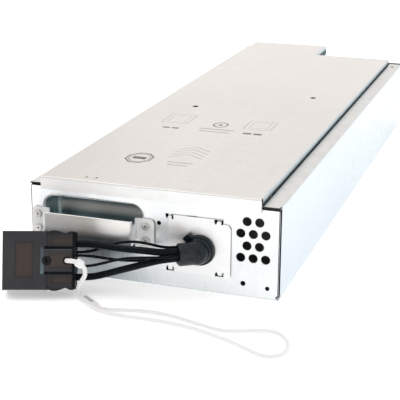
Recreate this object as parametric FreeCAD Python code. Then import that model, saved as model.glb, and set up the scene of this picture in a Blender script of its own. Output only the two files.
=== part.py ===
import FreeCAD, Part
import math
import os

# Battery cartridge of a rack UPS.
# Millimetres. +X right and -Y front as one stands at the handle end, +Z up.
# Everything is laid out with Y = 0 on the outer face of the front panel, then moved back by Y_MID so that the
# part's own origin is under the middle of its box, on the underside of the tray.

V = FreeCAD.Vector
os.makedirs("parts", exist_ok=True)

# ---------------------------------------------------------------- driving dimensions
T = 1.2                    # sheet thickness of tray, cover and gland plate
W = 210.0                  # width over the tray sides
H_TRAY = 76.2              # height to the top of the tray flanges
L_RIGHT = 586.0            # length of the right half of the tray
L_LEFT = 635.0             # length of the left half of the tray
X_STEP = -2.0              # outer face of the wall between the two halves at the rear
R_BEND = 2.0               # outside radius of the bends along the floor

Z_PANEL = 73.4             # top edge of the front panel
X_PANEL = 104.3            # half width of the front panel
GAP_0, GAP_1 = 1.2, 3.0    # slit between front panel and side walls
FL_R, FL_L = 91.0, -95.8   # inner edges of the right and left top flanges
FL_R_END, FL_L_END = 577.5, 632.5

COV_X0, COV_X1 = -94.7, 89.9     # cover
COV_Y0, COV_Y1R, COV_Y1L = -1.4, 574.9, 636.4
COV_XS = -0.6
COV_Z0, COV_Z1 = 71.4, 82.2
Z_SIDE = 72.6              # lower edge of the cover's side flanges
R_COV = 1.6

POCK_X0, POCK_X1 = -92.0, -8.5   # hand pocket
POCK_Z0, POCK_Z1 = 27.0, 65.4
POCK_D = 23.5
POCK_RC = 8.5
POCK_LIP = 2.2

HAN_T = 1.5                # handle
HAN_Y = -13.2              # front face of the grip plate
HAN_X0, HAN_X1 = -88.6, -11.7
HAN_Z0, HAN_Z1 = 32.0, 56.0
FOOT_R1, FOOT_L0 = 2.9, -103.2

VENT_R = 3.7
VENTS = [(78.3, 62.7), (88.3, 62.7), (73.4, 52.8), (83.4, 52.8), (93.4, 52.8),
         (78.5, 42.9), (88.5, 42.9), (73.6, 33.0), (83.6, 33.0), (93.6, 33.0)]
FIX_A = (75.8, 11.4, 2.1)  # fixing holes in the front panel: x, z, radius
FIX_B = (95.5, 9.5, 1.8)
FIX_C = (6.3, 53.3, 1.8)
FLANGE_HOLE = (96.6, 560.8, 2.2)
COVER_HOLES = [(-53.4, 266.4), (49.8, 342.5)]
COVER_HOLE_R = 2.9

GP_X0, GP_X1, GP_Z0, GP_Z1 = 14.5, 65.8, 14.6, 61.9   # gland plate
GL = V(40.8, -1.2, 35.4)   # centre of the gland on the face of its plate
GL_R = 12.1                # flange radius
GL_SHANK_R = 9.5
NOSE_R = 9.0

PW = 13.0                  # half distance between the power contacts
CABLE_D = 5.5              # heavy leads
WIRE_D = 2.2               # thin leads
CORD_D = 3.6               # white pull cord

BAT_X, BAT_Y, BAT_Z = 90.0, 101.0, 70.0   # sealed block lying on its long side
BAT_Y0 = 28.5
BAT_PITCH = 108.5
BAT_XIN = 13.1
Z_BAT = T + 0.5
TAB_X_IN, TAB_X_OUT, TAB_Z = 25.1, 91.1, 55.0

Y_MID = (HAN_Y + COV_Y1L) / 2.0  # replaced below when the gland nose reaches further forward

# ---------------------------------------------------------------- helpers


def box(x0, x1, y0, y1, z0, z1):
    return Part.makeBox(x1 - x0, y1 - y0, z1 - z0, V(x0, y0, z0))


def cyl(r, h, p, d):
    return Part.makeCylinder(r, h, p, d)


def prism_z(pts, z0, z1):
    w = Part.makePolygon([V(x, y, z0) for x, y in pts] + [V(pts[0][0], pts[0][1], z0)])
    return Part.Face(w).extrude(V(0, 0, z1 - z0))


def prism_y(pts, y0, y1):
    w = Part.makePolygon([V(x, y0, z) for x, z in pts] + [V(pts[0][0], y0, pts[0][1])])
    return Part.Face(w).extrude(V(0, y1 - y0, 0))


def rrect_y(x0, x1, z0, z1, r, y0, y1):
    b = box(x0, x1, y0, y1, z0, z1)
    es = [e for e in b.Edges if abs(e.Vertexes[0].X - e.Vertexes[1].X) < 1e-6
          and abs(e.Vertexes[0].Z - e.Vertexes[1].Z) < 1e-6]
    return b.makeFillet(r, es)


def pick(shape, test):
    out = []
    for e in shape.Edges:
        bb = e.BoundBox
        if test(bb, e):
            out.append(e)
    return out


def near(a, b, t=1e-4):
    return abs(a - b) < t


def unit(v):
    w = V(v)
    w.normalize()
    return w


def tube(points, r, name=None, factor=0.45, rmax=None, rad_list=None):
    """Round tube: straight runs joined by tangent arcs."""
    pts = [V(*p) if not isinstance(p, FreeCAD.Vector) else p for p in points]
    edges = []
    radii = []
    cur = pts[0]
    total = 0.0
    for i in range(1, len(pts) - 1):
        a, b, c = pts[i - 1], pts[i], pts[i + 1]
        d1, d2 = unit(b - a), unit(c - b)
        ang = d1.getAngle(d2)
        s = factor * min((b - a).Length, (c - b).Length)
        rad = s / math.tan(ang / 2.0)
        if rad_list is not None and rad_list[i - 1]:
            rad = min(rad, rad_list[i - 1])
        if rmax and rad > rmax:
            rad = rmax
        s = rad * math.tan(ang / 2.0)
        radii.append(rad)
        p1, p2 = b - d1 * s, b + d2 * s
        bis = unit((d2 - d1))
        centre = b + bis * (rad / math.cos(ang / 2.0))
        mid = centre - bis * rad
        if (p1 - cur).Length > 1e-5:
            edges.append(Part.LineSegment(cur, p1).toShape())
            total += (p1 - cur).Length
        edges.append(Part.Arc(p1, mid, p2).toShape())
        total += rad * ang
        cur = p2
    edges.append(Part.LineSegment(cur, pts[-1]).toShape())
    total += (pts[-1] - cur).Length
    path = Part.Wire(edges)
    d0 = unit(pts[1] - pts[0])
    prof = Part.Wire([Part.makeCircle(r, pts[0], d0)])
    t = path.makePipeShell([prof], True, False)
    if t.ShapeType != "Solid":
        t = Part.Solid(t) if t.ShapeType == "Shell" else t.Solids[0]
    if t.Volume < 0:
        t.reverse()
    if name:
        print("%-18s length %7.1f  smallest radius %6.1f (%.1f d)  radii %s  volume/ideal %.4f valid %s" % (
            name, total, min(radii), min(radii) / (2 * r), [round(q, 1) for q in radii],
            t.Volume / (math.pi * r * r * total), t.isValid()))
    return t


def fuse(a, *rest):
    s = a.multiFuse(list(rest)) if rest else a
    return s.removeSplitter()


PARTS = {}


def put(name, shape):
    n = len(shape.Solids)
    if not shape.isValid():
        print("INVALID", name)
    PARTS[name] = shape
    return shape


# ---------------------------------------------------------------- connector frame
YAW, LEAN = math.radians(18.8), math.radians(21.0)
CW, CT, CL = 46.0, 22.0, 56.0      # width, thickness and length of the connector housing
ca = V(math.cos(YAW), math.sin(YAW), 0)
cb = V(-math.sin(YAW), math.cos(YAW), 0)
cw = V(0, 0, 1) * math.cos(LEAN) + cb * math.sin(LEAN)
cn = ca.cross(cw)
co = V(-98.5, -67.0, CT * math.sin(LEAN) + 0.28)


def con(a, w, n):
    return co + ca * a + cw * w + cn * n


def to_con(shape):
    m = FreeCAD.Matrix(ca.x, cw.x, cn.x, co.x, ca.y, cw.y, cn.y, co.y, ca.z, cw.z, cn.z, co.z, 0, 0, 0, 1)
    s = shape.copy()
    s.Placement = FreeCAD.Placement(m)
    return s


def cbox(a0, a1, w0, w1, n0, n1):
    return Part.makeBox(a1 - a0, w1 - w0, n1 - n0, V(a0, w0, n0))


# ---------------------------------------------------------------- tray
plan = [(-W / 2, 0), (W / 2, 0), (W / 2, L_RIGHT), (X_STEP, L_RIGHT), (X_STEP, L_LEFT), (-W / 2, L_LEFT)]
plan_in = [(-W / 2 + T, T), (W / 2 - T, T), (W / 2 - T, L_RIGHT - T), (X_STEP - T, L_RIGHT - T),
           (X_STEP - T, L_LEFT - T), (-W / 2 + T, L_LEFT - T)]
outer = prism_z(plan, 0, H_TRAY)
outer = outer.makeFillet(R_BEND, pick(outer, lambda b, e: near(b.ZMin, 0) and near(b.ZMax, 0)))
inner = prism_z(plan_in, T, H_TRAY + 1)
inner = inner.makeFillet(R_BEND - T, pick(inner, lambda b, e: near(b.ZMin, T) and near(b.ZMax, T)))
tray = outer.cut(inner)
# the front panel stops short of the top flanges and of the tray's sides
cuts = [box(-W / 2 - 1, W / 2 + 1, -1, T + 0.01, Z_PANEL, H_TRAY + 1)]
for s in (-1, 1):
    x0, x1 = sorted((s * X_PANEL, s * (W / 2 + 1)))
    cuts.append(box(x0, x1, -1, GAP_1, -1, H_TRAY + 1))
    x0, x1 = sorted((s * (W / 2 - T), s * (W / 2 + 1)))
    cuts.append(box(x0, x1, GAP_0, GAP_1, -1, H_TRAY + 1))
    # relief hole at the lower corner
    cuts.append(cyl(2.0, 8, V(s * (W / 2 - 1.0), -2, 2.2), V(0, 1, 0)))
    # slits at the rear corners
    if s > 0:
        cuts.append(box(W / 2 - T, W / 2 + 1, L_RIGHT - T - 0.5, L_RIGHT - T, 4, H_TRAY + 1))
    else:
        cuts.append(box(-W / 2 - 1, -W / 2 + T, L_LEFT - T - 0.5, L_LEFT - T, 4, H_TRAY + 1))
cuts.append(box(X_STEP - T, X_STEP + 1, L_LEFT - T - 0.5, L_LEFT - T, 4, H_TRAY + 1))
tray = tray.cut(Part.makeCompound(cuts))
# top flanges folded inwards
fr = box(FL_R, W / 2 - 0.4, 0, FL_R_END, H_TRAY - T, H_TRAY)
fl = box(-W / 2 + 0.4, FL_L, 0, FL_L_END, H_TRAY - T, H_TRAY)
ledge = box(3.0, 88.0, FL_R_END, L_RIGHT - 0.3, H_TRAY - T, H_TRAY)
# welded corner tabs of the front panel, joggled outwards to lie on the side walls
tabs = []
for s in (-1, 1):
    def bx(xa, xb, y0, y1, z0, z1):
        x0, x1 = sorted((s * xa, s * xb))
        return box(x0, x1, y0, y1, z0, z1)
    tabs += [bx(100.3, 101.5, 0.8, 5.6, 6.0, 71.5), bx(100.3, W / 2 - T + 0.2, 4.4, 5.6, 6.0, 71.5),
             bx(102.6, W / 2 - T + 0.2, 4.4, 15.5, 6.0, 71.5)]
tray = tray.multiFuse([fr, fl, ledge] + tabs).removeSplitter()
# rounded shoulders along the top
es = pick(tray, lambda b, e: near(b.ZMin, H_TRAY, 0.01) and near(b.ZMax, H_TRAY, 0.01)
          and near(abs(b.XMin), W / 2, 0.01) and near(abs(b.XMax), W / 2, 0.01) and b.YLength > 60)
try:
    t2 = tray.makeFillet(1.3, es)
    if t2.isValid():
        tray = t2
except Exception as ex:
    print("shoulder fillet skipped", ex)

# hand pocket, drawn into the front panel with a rounded lip and a rolled back
bump = rrect_y(POCK_X0 - T, POCK_X1 + T, POCK_Z0 - T, POCK_Z1 + T, POCK_RC + T, 0.0, POCK_D + T)
bump = bump.makeFillet(9.0 + T, pick(bump, lambda b, e: near(b.YMin, POCK_D + T) and near(b.YMax, POCK_D + T)))
slab = box(POCK_X0 - 9, POCK_X1 + 6, 0, T, POCK_Z0 - 8, POCK_Z1 + 7)
bo = slab.fuse(bump).removeSplitter()
lip_e = pick(bo, lambda b, e: near(b.YMin, T, 1e-3) and near(b.YMax, T, 1e-3)
             and b.XMin > POCK_X0 - T - 0.1 and b.XMax < POCK_X1 + T + 0.1
             and b.ZMin > POCK_Z0 - T - 0.1 and b.ZMax < POCK_Z1 + T + 0.1)
bo = bo.makeFillet(POCK_LIP - T, lip_e)
cav = rrect_y(POCK_X0, POCK_X1, POCK_Z0, POCK_Z1, POCK_RC, -0.0, POCK_D)
cav = cav.makeFillet(9.0, pick(cav, lambda b, e: near(b.YMin, POCK_D) and near(b.YMax, POCK_D)))
front = box(POCK_X0 - 30, POCK_X1 + 30, -6, 0, POCK_Z0 - 26, POCK_Z1 + 26)
fc = front.fuse(cav).removeSplitter()
lip_i = pick(fc, lambda b, e: near(b.YMin, 0, 1e-3) and near(b.YMax, 0, 1e-3)
             and b.XMin > POCK_X0 - 0.1 and b.XMax < POCK_X1 + 0.1
             and b.ZMin > POCK_Z0 - 0.1 and b.ZMax < POCK_Z1 + 0.1)
fc = fc.makeFillet(POCK_LIP, lip_i)
tray = tray.fuse(bo).cut(fc).removeSplitter()

# holes of the front panel
holes = [cyl(VENT_R, 6, V(x, -2, z), V(0, 1, 0)) for x, z in VENTS]
for x, z, r in (FIX_A, FIX_B, FIX_C):
    holes.append(cyl(r, 6, V(x, -2, z), V(0, 1, 0)))
holes.append(cyl(FLANGE_HOLE[2], 6, V(FLANGE_HOLE[0], FLANGE_HOLE[1], H_TRAY - 3), V(0, 0, 1)))
# window behind the gland plate, with a step for each hook
holes.append(box(18.6, 59.0, -1, 3, 18.2, 57.6))


def hook_slot(xa, xb, z_edge, up, y0, y1, bl=2.4):
    """U-shaped lanced slot: a bar at z_edge, a leg at each end, a wider punch mark at the left."""
    s = 1 if up else -1
    z = [z_edge, z_edge - s * 1.5]
    zl = [z_edge, z_edge - s * 3.9]
    out = [box(xa, xb, y0, y1, min(z), max(z)),
           box(xb - 1.5, xb, y0, y1, min(zl), max(zl)),
           box(xa, xa + bl, y0, y1, min(z_edge, z_edge - s * 2.7), max(z_edge, z_edge - s * 2.7)),
           box(xa + 0.5, xa + 1.9, y0, y1, min(zl), max(zl))]
    return out


HOOKS = [(11.8, 18.8, 62.1, True), (52.3, 59.4, 61.8, True), (12.2, 19.3, 14.4, False), (53.2, 60.3, 14.4, False)]
hook_cut = []
for xa, xb, z, up in HOOKS:
    hook_cut += hook_slot(xa, xb, z, up, -2.5, 3.0)
tray = tray.cut(Part.makeCompound(holes)).cut(Part.makeCompound(hook_cut))
# screw and rivet holes under the handle feet
riv = [(-4.4, 49.6), (-4.4, 37.7), (-97.7, 50.2), (-97.7, 38.0)]
tray = tray.cut(Part.makeCompound([cyl(1.65, 6, V(x, -2, z), V(0, 1, 0)) for x, z in riv]))
# spot-weld dimples on the right and left sides near the front
dim = []
for y, z in ((9.5, 67.6), (9.5, 40.0), (9.5, 10.0)):
    for s in (-1, 1):
        dim.append(Part.makeSphere(6.2, V(s * (W / 2 + 5.9), y, z)))
tray = tray.cut(Part.makeCompound(dim))
put("tray", tray)

# ---------------------------------------------------------------- cover
plan_c = [(COV_X0, COV_Y0), (COV_X1, COV_Y0), (COV_X1, COV_Y1R), (COV_XS, COV_Y1R), (COV_XS, COV_Y1L),
          (COV_X0, COV_Y1L)]
plan_ci = [(COV_X0 + T, COV_Y0 + T), (COV_X1 - T, COV_Y0 + T), (COV_X1 - T, COV_Y1R - T), (COV_XS - T, COV_Y1R - T),
           (COV_XS - T, COV_Y1L - T), (COV_X0 + T, COV_Y1L - T)]
co_o = prism_z(plan_c, COV_Z0, COV_Z1)
co_o = co_o.makeFillet(R_COV, pick(co_o, lambda b, e: near(b.ZMin, COV_Z1) and near(b.ZMax, COV_Z1)))
co_i = prism_z(plan_ci, COV_Z0 - 1, COV_Z1 - T)
co_i = co_i.makeFillet(0.5, pick(co_i, lambda b, e: near(b.ZMin, COV_Z1 - T) and near(b.ZMax, COV_Z1 - T)))
cover = co_o.cut(co_i)
cc = []
# side flanges: shallower than the front one, and relieved where they pass the tray's end walls
cc.append(box(COV_X1 - T, COV_X1 + 1, COV_Y0 + T, COV_Y1R + 1, COV_Z0 - 1, Z_SIDE))
cc.append(box(COV_X0 - 1, COV_X0 + T, COV_Y0 + T, L_LEFT + 0.2, COV_Z0 - 1, Z_SIDE))
cc.append(box(COV_X1 - T, COV_X1 + 1, COV_Y0 + T, 2.6, COV_Z0 - 1, 77.0))
cc.append(box(COV_X0 - 1, COV_X0 + T, COV_Y0 + T, 2.6, COV_Z0 - 1, 77.0))
cc.append(box(COV_X0 - 1, COV_X0 + T, 631.5, L_LEFT + 0.2, COV_Z0 - 1, 77.0))
cc.append(box(COV_XS - T, COV_X1 + 1, COV_Y1R - T, COV_Y1R + 1, COV_Z0 - 1, Z_SIDE))
cc.append(box(COV_XS - T - 0.01, COV_XS + 4, COV_Y1R - T - 0.01, L_RIGHT + 1.6, COV_Z0 - 1, 77.2))
for x, y in COVER_HOLES:
    cc.append(cyl(COVER_HOLE_R, 4, V(x, y, COV_Z1 - 2.5), V(0, 0, 1)))
cover = cover.cut(Part.makeCompound(cc))
# lanced stiffening dimple near the front edge: a small raised bridge between two short slits
br = box(-57.6, -50.4, 7.0, 9.8, COV_Z1 - 0.6, COV_Z1 + 0.35)
br = br.makeFillet(0.3, pick(br, lambda b, e: near(b.ZMin, COV_Z1 + 0.35) and near(b.ZMax, COV_Z1 + 0.35)))
cover = cover.fuse(br)
cover = cover.cut(Part.makeCompound([box(-59.0, -57.6, 6.8, 10.0, COV_Z1 - 2, COV_Z1 + 2),
                                     box(-50.4, -49.0, 6.8, 10.0, COV_Z1 - 2, COV_Z1 + 2)]))
# tongues of the side flanges that reach under the tray's flanges
tg = []
TONGUES = [(27.0, 41.0), (268.0, 282.0), (501.0, 515.0)]
reliefs = []
for y0, y1 in TONGUES:
    for ya in (y0 - 1.6, y1):
        reliefs.append(box(COV_X1 - T - 0.01, COV_X1 + 1, ya, ya + 1.6, Z_SIDE - 1, 77.4))
        reliefs.append(box(COV_X0 - 1, COV_X0 + T + 0.01, ya, ya + 1.6, Z_SIDE - 1, 77.4))
cover = cover.cut(Part.makeCompound(reliefs))
for y0, y1 in TONGUES:
    tg.append(box(COV_X1 - T, 95.5, y0, y1, Z_SIDE, Z_SIDE + 1.0))
    tg.append(box(-100.3, COV_X0 + T, y0, y1, Z_SIDE, Z_SIDE + 1.0))
cover = cover.multiFuse(tg).removeSplitter()
put("cover", cover)

# ---------------------------------------------------------------- handle
HX0, HX1 = HAN_X0, HAN_X1
hy0, hy1 = HAN_Y, -0.05           # front face of the grip, back face of the feet
path_out = [(FOOT_L0, hy1), (FOOT_L0, hy1 - HAN_T), (HX0, hy1 - HAN_T), (HX0, hy0), (HX1, hy0), (HX1, hy1 - HAN_T),
            (FOOT_R1, hy1 - HAN_T), (FOOT_R1, hy1), (HX1 - HAN_T, hy1), (HX1 - HAN_T, hy0 + HAN_T),
            (HX0 + HAN_T, hy0 + HAN_T), (HX0 + HAN_T, hy1)]
ww = Part.makePolygon([V(x, y, HAN_Z0) for x, y in path_out] + [V(path_out[0][0], path_out[0][1], HAN_Z0)])
han = Part.Face(ww).extrude(V(0, 0, HAN_Z1 - HAN_Z0))


def vert_edge(shape, x, y):
    return pick(shape, lambda b, e: near(b.XMin, x, 1e-3) and near(b.XMax, x, 1e-3) and near(b.YMin, y, 1e-3)
                and near(b.YMax, y, 1e-3) and b.ZLength > 5)


han = han.makeFillet(2.6, vert_edge(han, HX0, hy0) + vert_edge(han, HX1, hy0))
han = han.makeFillet(1.1, vert_edge(han, HX0 + HAN_T, hy0 + HAN_T) + vert_edge(han, HX1 - HAN_T, hy0 + HAN_T))
han = han.makeFillet(1.1, vert_edge(han, HX0, hy1 - HAN_T) + vert_edge(han, HX1, hy1 - HAN_T))
han = han.makeFillet(2.4, vert_edge(han, HX0 + HAN_T, hy1) + vert_edge(han, HX1 - HAN_T, hy1))
# the legs are narrower than the grip and the feet
hc = []
for s0, s1 in ((HX0 - 0.1, HX0 + 1.7), (HX1 - 1.7, HX1 + 0.1)):
    for z0, z1, zc in ((HAN_Z1 - 4.0, HAN_Z1 + 1, HAN_Z1 - 4.0), (HAN_Z0 - 1, HAN_Z0 + 4.0, HAN_Z0 + 4.0)):
        hc.append(box(s0, s1, hy0 + 1.9, hy1 - HAN_T - 0.9, z0, z1))
han = han.cut(Part.makeCompound(hc))
# rounded corners of the feet, seen from the front
fe = []
for x in (FOOT_L0, FOOT_R1):
    for z in (HAN_Z0, HAN_Z1):
        fe += pick(han, lambda b, e: near(b.XMin, x, 1e-3) and near(b.XMax, x, 1e-3) and near(b.ZMin, z, 1e-3)
                   and near(b.ZMax, z, 1e-3))
han = han.makeFillet(4.0, fe)
# softened long edges of the grip
ge = pick(han, lambda b, e: (near(b.ZMin, HAN_Z0, 1e-3) and near(b.ZMax, HAN_Z0, 1e-3)
                             or near(b.ZMin, HAN_Z1, 1e-3) and near(b.ZMax, HAN_Z1, 1e-3))
          and b.XLength > 60 and b.YLength < 1e-3)
try:
    h2 = han.makeFillet(0.6, ge)
    if h2.isValid():
        han = h2
except Exception as ex:
    print("grip fillet skipped", ex)
han = han.cut(Part.makeCompound([cyl(1.65, 6, V(x, -4, z), V(0, 1, 0)) for x, z in riv]))
put("handle", han)

# blind rivets: domed flange with the mandrel's hole, sleeve, and upset head behind the panel
rs = []
for x, z in riv:
    yf = hy1 - HAN_T
    head = cyl(3.6, 1.3, V(x, yf, z), V(0, -1, 0))
    head = head.makeFillet(0.9, pick(head, lambda b, e: near(b.YMin, yf - 1.3) and near(b.YMax, yf - 1.3)))
    r_ = fuse(head, cyl(1.6, HAN_T + T + 1.5, V(x, yf, z), V(0, 1, 0)), cyl(1.85, 1.8, V(x, T + 0.05, z), V(0, 1, 0)))
    r_ = r_.cut(cyl(0.85, 2.2, V(x, yf - 1.4, z), V(0, 1, 0)))
    rs.append(r_)
put("handle_rivets", Part.makeCompound(rs))

# ---------------------------------------------------------------- gland plate
GP_Y0, GP_Y1 = -1.25, -0.05
gp_pts = [(GP_X0, GP_Z0), (GP_X1, GP_Z0), (GP_X1, 58.4), (59.4, 58.4), (59.4, GP_Z1), (GP_X0, GP_Z1)]
gp = prism_y(gp_pts, GP_Y0, GP_Y1)
gp = gp.makeFillet(4.5, pick(gp, lambda b, e: near(b.XMin, GP_X1, 1e-3) and near(b.XMax, GP_X1, 1e-3)
                             and b.YLength > 1 and b.ZLength < 1e-3 and b.ZMin > 50))
gp = gp.makeFillet(2.0, pick(gp, lambda b, e: near(b.XMin, GP_X1, 1e-3) and near(b.XMax, GP_X1, 1e-3)
                             and b.YLength > 1 and b.ZLength < 1e-3 and b.ZMin < 20))
gp = gp.cut(Part.makeCompound(hook_cut))
gp = gp.cut(cyl(GL_SHANK_R + 0.1, 8, V(GL.x, -4, GL.z), V(0, 1, 0)))
# lanced hooks bent in through the window and behind the panel
hk = []
for xa, xb, z, up in HOOKS:
    xm0, xm1 = xa + 2.1, xb - 1.7
    if up:
        hk += [box(xm0, xm1, GP_Y0, 2.6, z - 3.6, z - 2.6), box(xm0, xm1, 1.6, 2.6, z - 3.6, z - 0.3)]
    else:
        hk += [box(xm0, xm1, GP_Y0, 2.6, z + 2.6, z + 3.6), box(xm0, xm1, 1.6, 2.6, z + 0.3, z + 3.6)]
gp_core = gp
gp = gp.multiFuse(hk).removeSplitter()
put("gland_plate", gp)
# clearance windows for those hooks in the panel
hw = []
for xa, xb, z, up in HOOKS:
    if up:
        hw.append(box(xa + 1.9, xb - 1.5, -1, 3, 56.0, z - 2.2))
    else:
        hw.append(box(xa + 1.9, xb - 1.5, -1, 3, z + 2.2, 20.0))
tray = PARTS["tray"].cut(Part.makeCompound(hw))
PARTS["tray"] = max(tray.Solids, key=lambda q: q.Volume)   # the bars punched out beside the hooks fall away

# ---------------------------------------------------------------- cable gland (moulded elbow)
nose_d = unit(V(-0.777, -0.62, 0.03))
knee = V(40.0, -9.2, GL.z)
NOSE_L = 15.0
nose = knee + nose_d * NOSE_L
washer = cyl(GL_R + 0.3, 1.0, V(GL.x, GP_Y0, GL.z), V(0, -1, 0)).cut(
    cyl(GL_SHANK_R, 3.0, V(GL.x, GP_Y0 + 1, GL.z), V(0, -1, 0)))
put("gland_washer", washer)
y_fl = GP_Y0 - 1.0
flange = cyl(GL_R, 2.6, V(GL.x, y_fl, GL.z), V(0, -1, 0))
flange = flange.makeFillet(0.7, pick(flange, lambda b, e: near(b.YMin, y_fl - 2.6) and near(b.YMax, y_fl - 2.6)))
ring = Part.makeCone(10.9, 9.6, 3.2, V(GL.x, y_fl - 2.6, GL.z), V(0, -1, 0))
shank = cyl(GL_SHANK_R, 9.5, V(GL.x, y_fl, GL.z), V(0, 1, 0))
ball = Part.makeSphere(9.5, V(knee.x + 0.4, knee.y + 0.2, knee.z))
barrel = cyl(NOSE_R, NOSE_L, knee, nose_d)
barrel = barrel.makeChamfer(1.4, [e for e in barrel.Edges if e.Closed and (e.CenterOfMass - nose).Length < 0.1])
# flat on the side of the barrel that faces forward
side = unit(V(0, 0, 1).cross(nose_d))
if side.y > 0:
    side = side * -1
fup = unit(side.cross(nose_d))
flat = Part.makeBox(9.0, 5.0, 3.0, V(4.4, -2.5 - 1.0, NOSE_R - 0.55))
fm = FreeCAD.Matrix(nose_d.x, fup.x, side.x, knee.x, nose_d.y, fup.y, side.y, knee.y, nose_d.z, fup.z, side.z, knee.z,
                    0, 0, 0, 1)
flat.Placement = FreeCAD.Placement(fm)
# anti-rotation tab at the upper left of the flange
tab_ang = math.radians(133)
tc = V(GL.x + 13.2 * math.cos(tab_ang), 0, GL.z + 13.2 * math.sin(tab_ang))
tb = box(-3.1, 3.1, y_fl - 3.4, y_fl, -2.6, 2.6)
tb.rotate(V(0, 0, 0), V(0, 1, 0), -(math.degrees(tab_ang) - 90))
tb.translate(V(tc.x, 0, tc.z))
tn = box(-1.0, 1.0, y_fl - 4.6, y_fl - 0.5, -3.4, 1.6)
tn.rotate(V(0, 0, 0), V(0, 1, 0), -(math.degrees(tab_ang) - 90))
tn.translate(V(tc.x, 0, tc.z))
gland = flange.multiFuse([ring, shank, ball, barrel, tb, tn]).removeSplitter()
g2 = gland.cut(flat)
if len(g2.Solids) == 1 and g2.isValid():
    gland = g2
put("cable_gland", gland)
nut = prism_y([(GL.x + 13.6 * math.cos(math.radians(60 * k)), GL.z + 13.6 * math.sin(math.radians(60 * k)))
               for k in range(6)], GP_Y1, GP_Y1 + 4.5)
nut = nut.cut(cyl(GL_SHANK_R, 8, V(GL.x, -3, GL.z), V(0, 1, 0)))
put("gland_nut", nut)
y_in = y_fl + 9.5                # inner end of the gland's shank

# ---------------------------------------------------------------- connector
hs = cbox(0, 34, 0, CW, -CT, 0)
hs = hs.makeChamfer(0.7, [e for e in hs.Edges if abs(e.BoundBox.XLength - 34) < 1e-3])


def lobes(w0, s, n0, n1):
    """Finger grips along one edge of the rear half: a long lobe, a short flat and a short lobe."""
    def p(a, d):
        return V(a, w0 + s * d, n0)
    edges = [Part.Arc(p(34.0, 1.3), p(40.3, -0.5), p(46.6, 1.6)).toShape(),
             Part.makeLine(p(46.6, 1.6), p(49.8, 1.6)),
             Part.Arc(p(49.8, 1.6), p(53.2, 0.2), p(56.0, 1.0)).toShape(),
             Part.makeLine(p(56.0, 1.0), p(56.0, 8.0)), Part.makeLine(p(56.0, 8.0), p(34.0, 8.0)),
             Part.makeLine(p(34.0, 8.0), p(34.0, 1.3))]
    return Part.Face(Part.Wire(Part.__sortEdges__(edges))).extrude(V(0, 0, n1 - n0))


STEP_N = 0.9                        # the rear half's broad faces lie this much below the front half's
neck = cbox(30, 36, 2.2, CW - 2.2, -CT + STEP_N + 0.9, -STEP_N - 0.9)
mid = cbox(34, CL, 3.4, CW - 3.4, -CT + STEP_N, -STEP_N)
house = hs.multiFuse([lobes(0, 1, -CT + STEP_N + 0.9, -STEP_N - 0.9), lobes(CW, -1, -CT + STEP_N + 0.9, -STEP_N - 0.9),
                      neck, mid]).removeSplitter()
# raised ridge along the middle of each broad face, with a bevelled front
for sgn in (1, -1):
    n_a, n_b = (-STEP_N, 2.0) if sgn > 0 else (-CT + STEP_N, -CT - 2.0)
    base = Part.Face(Part.makePolygon([V(29.8, 13.0, n_a), V(CL, 13.0, n_a), V(CL, 33.0, n_a), V(29.8, 33.0, n_a),
                                       V(29.8, 13.0, n_a)]))
    top = Part.Face(Part.makePolygon([V(32.6, 14.4, n_b), V(CL, 14.4, n_b), V(CL, 31.6, n_b), V(32.6, 31.6, n_b),
                                      V(32.6, 14.4, n_b)]))
    ridge = Part.makeLoft([base.OuterWire, top.OuterWire], True, True)
    house = house.fuse(ridge)
house = house.removeSplitter()
# shallow panels in the broad faces
for sgn in (1, -1):
    def panel(a0, a1, w0, w1, d):
        return cbox(a0, a1, w0, w1, -d, 3.0) if sgn > 0 else cbox(a0, a1, w0, w1, -CT - 3.0, -CT + d)
    house = house.cut(Part.makeCompound([panel(9.6, 23.8, 9.8, 37.4, 0.8), panel(37.6, 54.0, 35.6, 41.0, STEP_N + 0.8),
                                         panel(37.6, 54.0, 5.0, 10.4, STEP_N + 0.8)]))
    if sgn > 0:
        house = house.cut(Part.makeCompound([cbox(36.8, 54.2, 17.6, 28.4, 1.6, 3.0)]))
# holes through the ridge: a small one with a hexagonal pocket for a nut, and a larger one with a round pocket
HOLES = (34.6, 50.0)
HOLE_R = (1.3, 1.9)
for hx, hr in zip(HOLES, HOLE_R):
    house = house.cut(cyl(hr, CT + 8, V(hx, CW / 2, -CT - 4), V(0, 0, 1)))
hexp = Part.makePolygon([V(HOLES[0] + 4.0 * math.cos(math.radians(60 * k)),
                           CW / 2 + 4.0 * math.sin(math.radians(60 * k)), 1.0) for k in range(7)])
house = house.cut(Part.Face(hexp).extrude(V(0, 0, 3)))
house = house.cut(cyl(3.1, 3, V(HOLES[1], CW / 2, 0.9), V(0, 0, 1)))
# mating end: two deep contact sockets, and the small auxiliary socket between them
CAV_N0, CAV_N1 = -12.9, -2.8
for wc in (CW / 2 - PW, CW / 2 + PW):
    house = house.cut(cbox(-1, 26.0, wc - 7.2, wc + 7.2, CAV_N0, CAV_N1))
house = house.cut(cbox(-1, 14.0, CW / 2 - 2.6, CW / 2 + 2.6, -CT + 4.0, -4.0))
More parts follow.
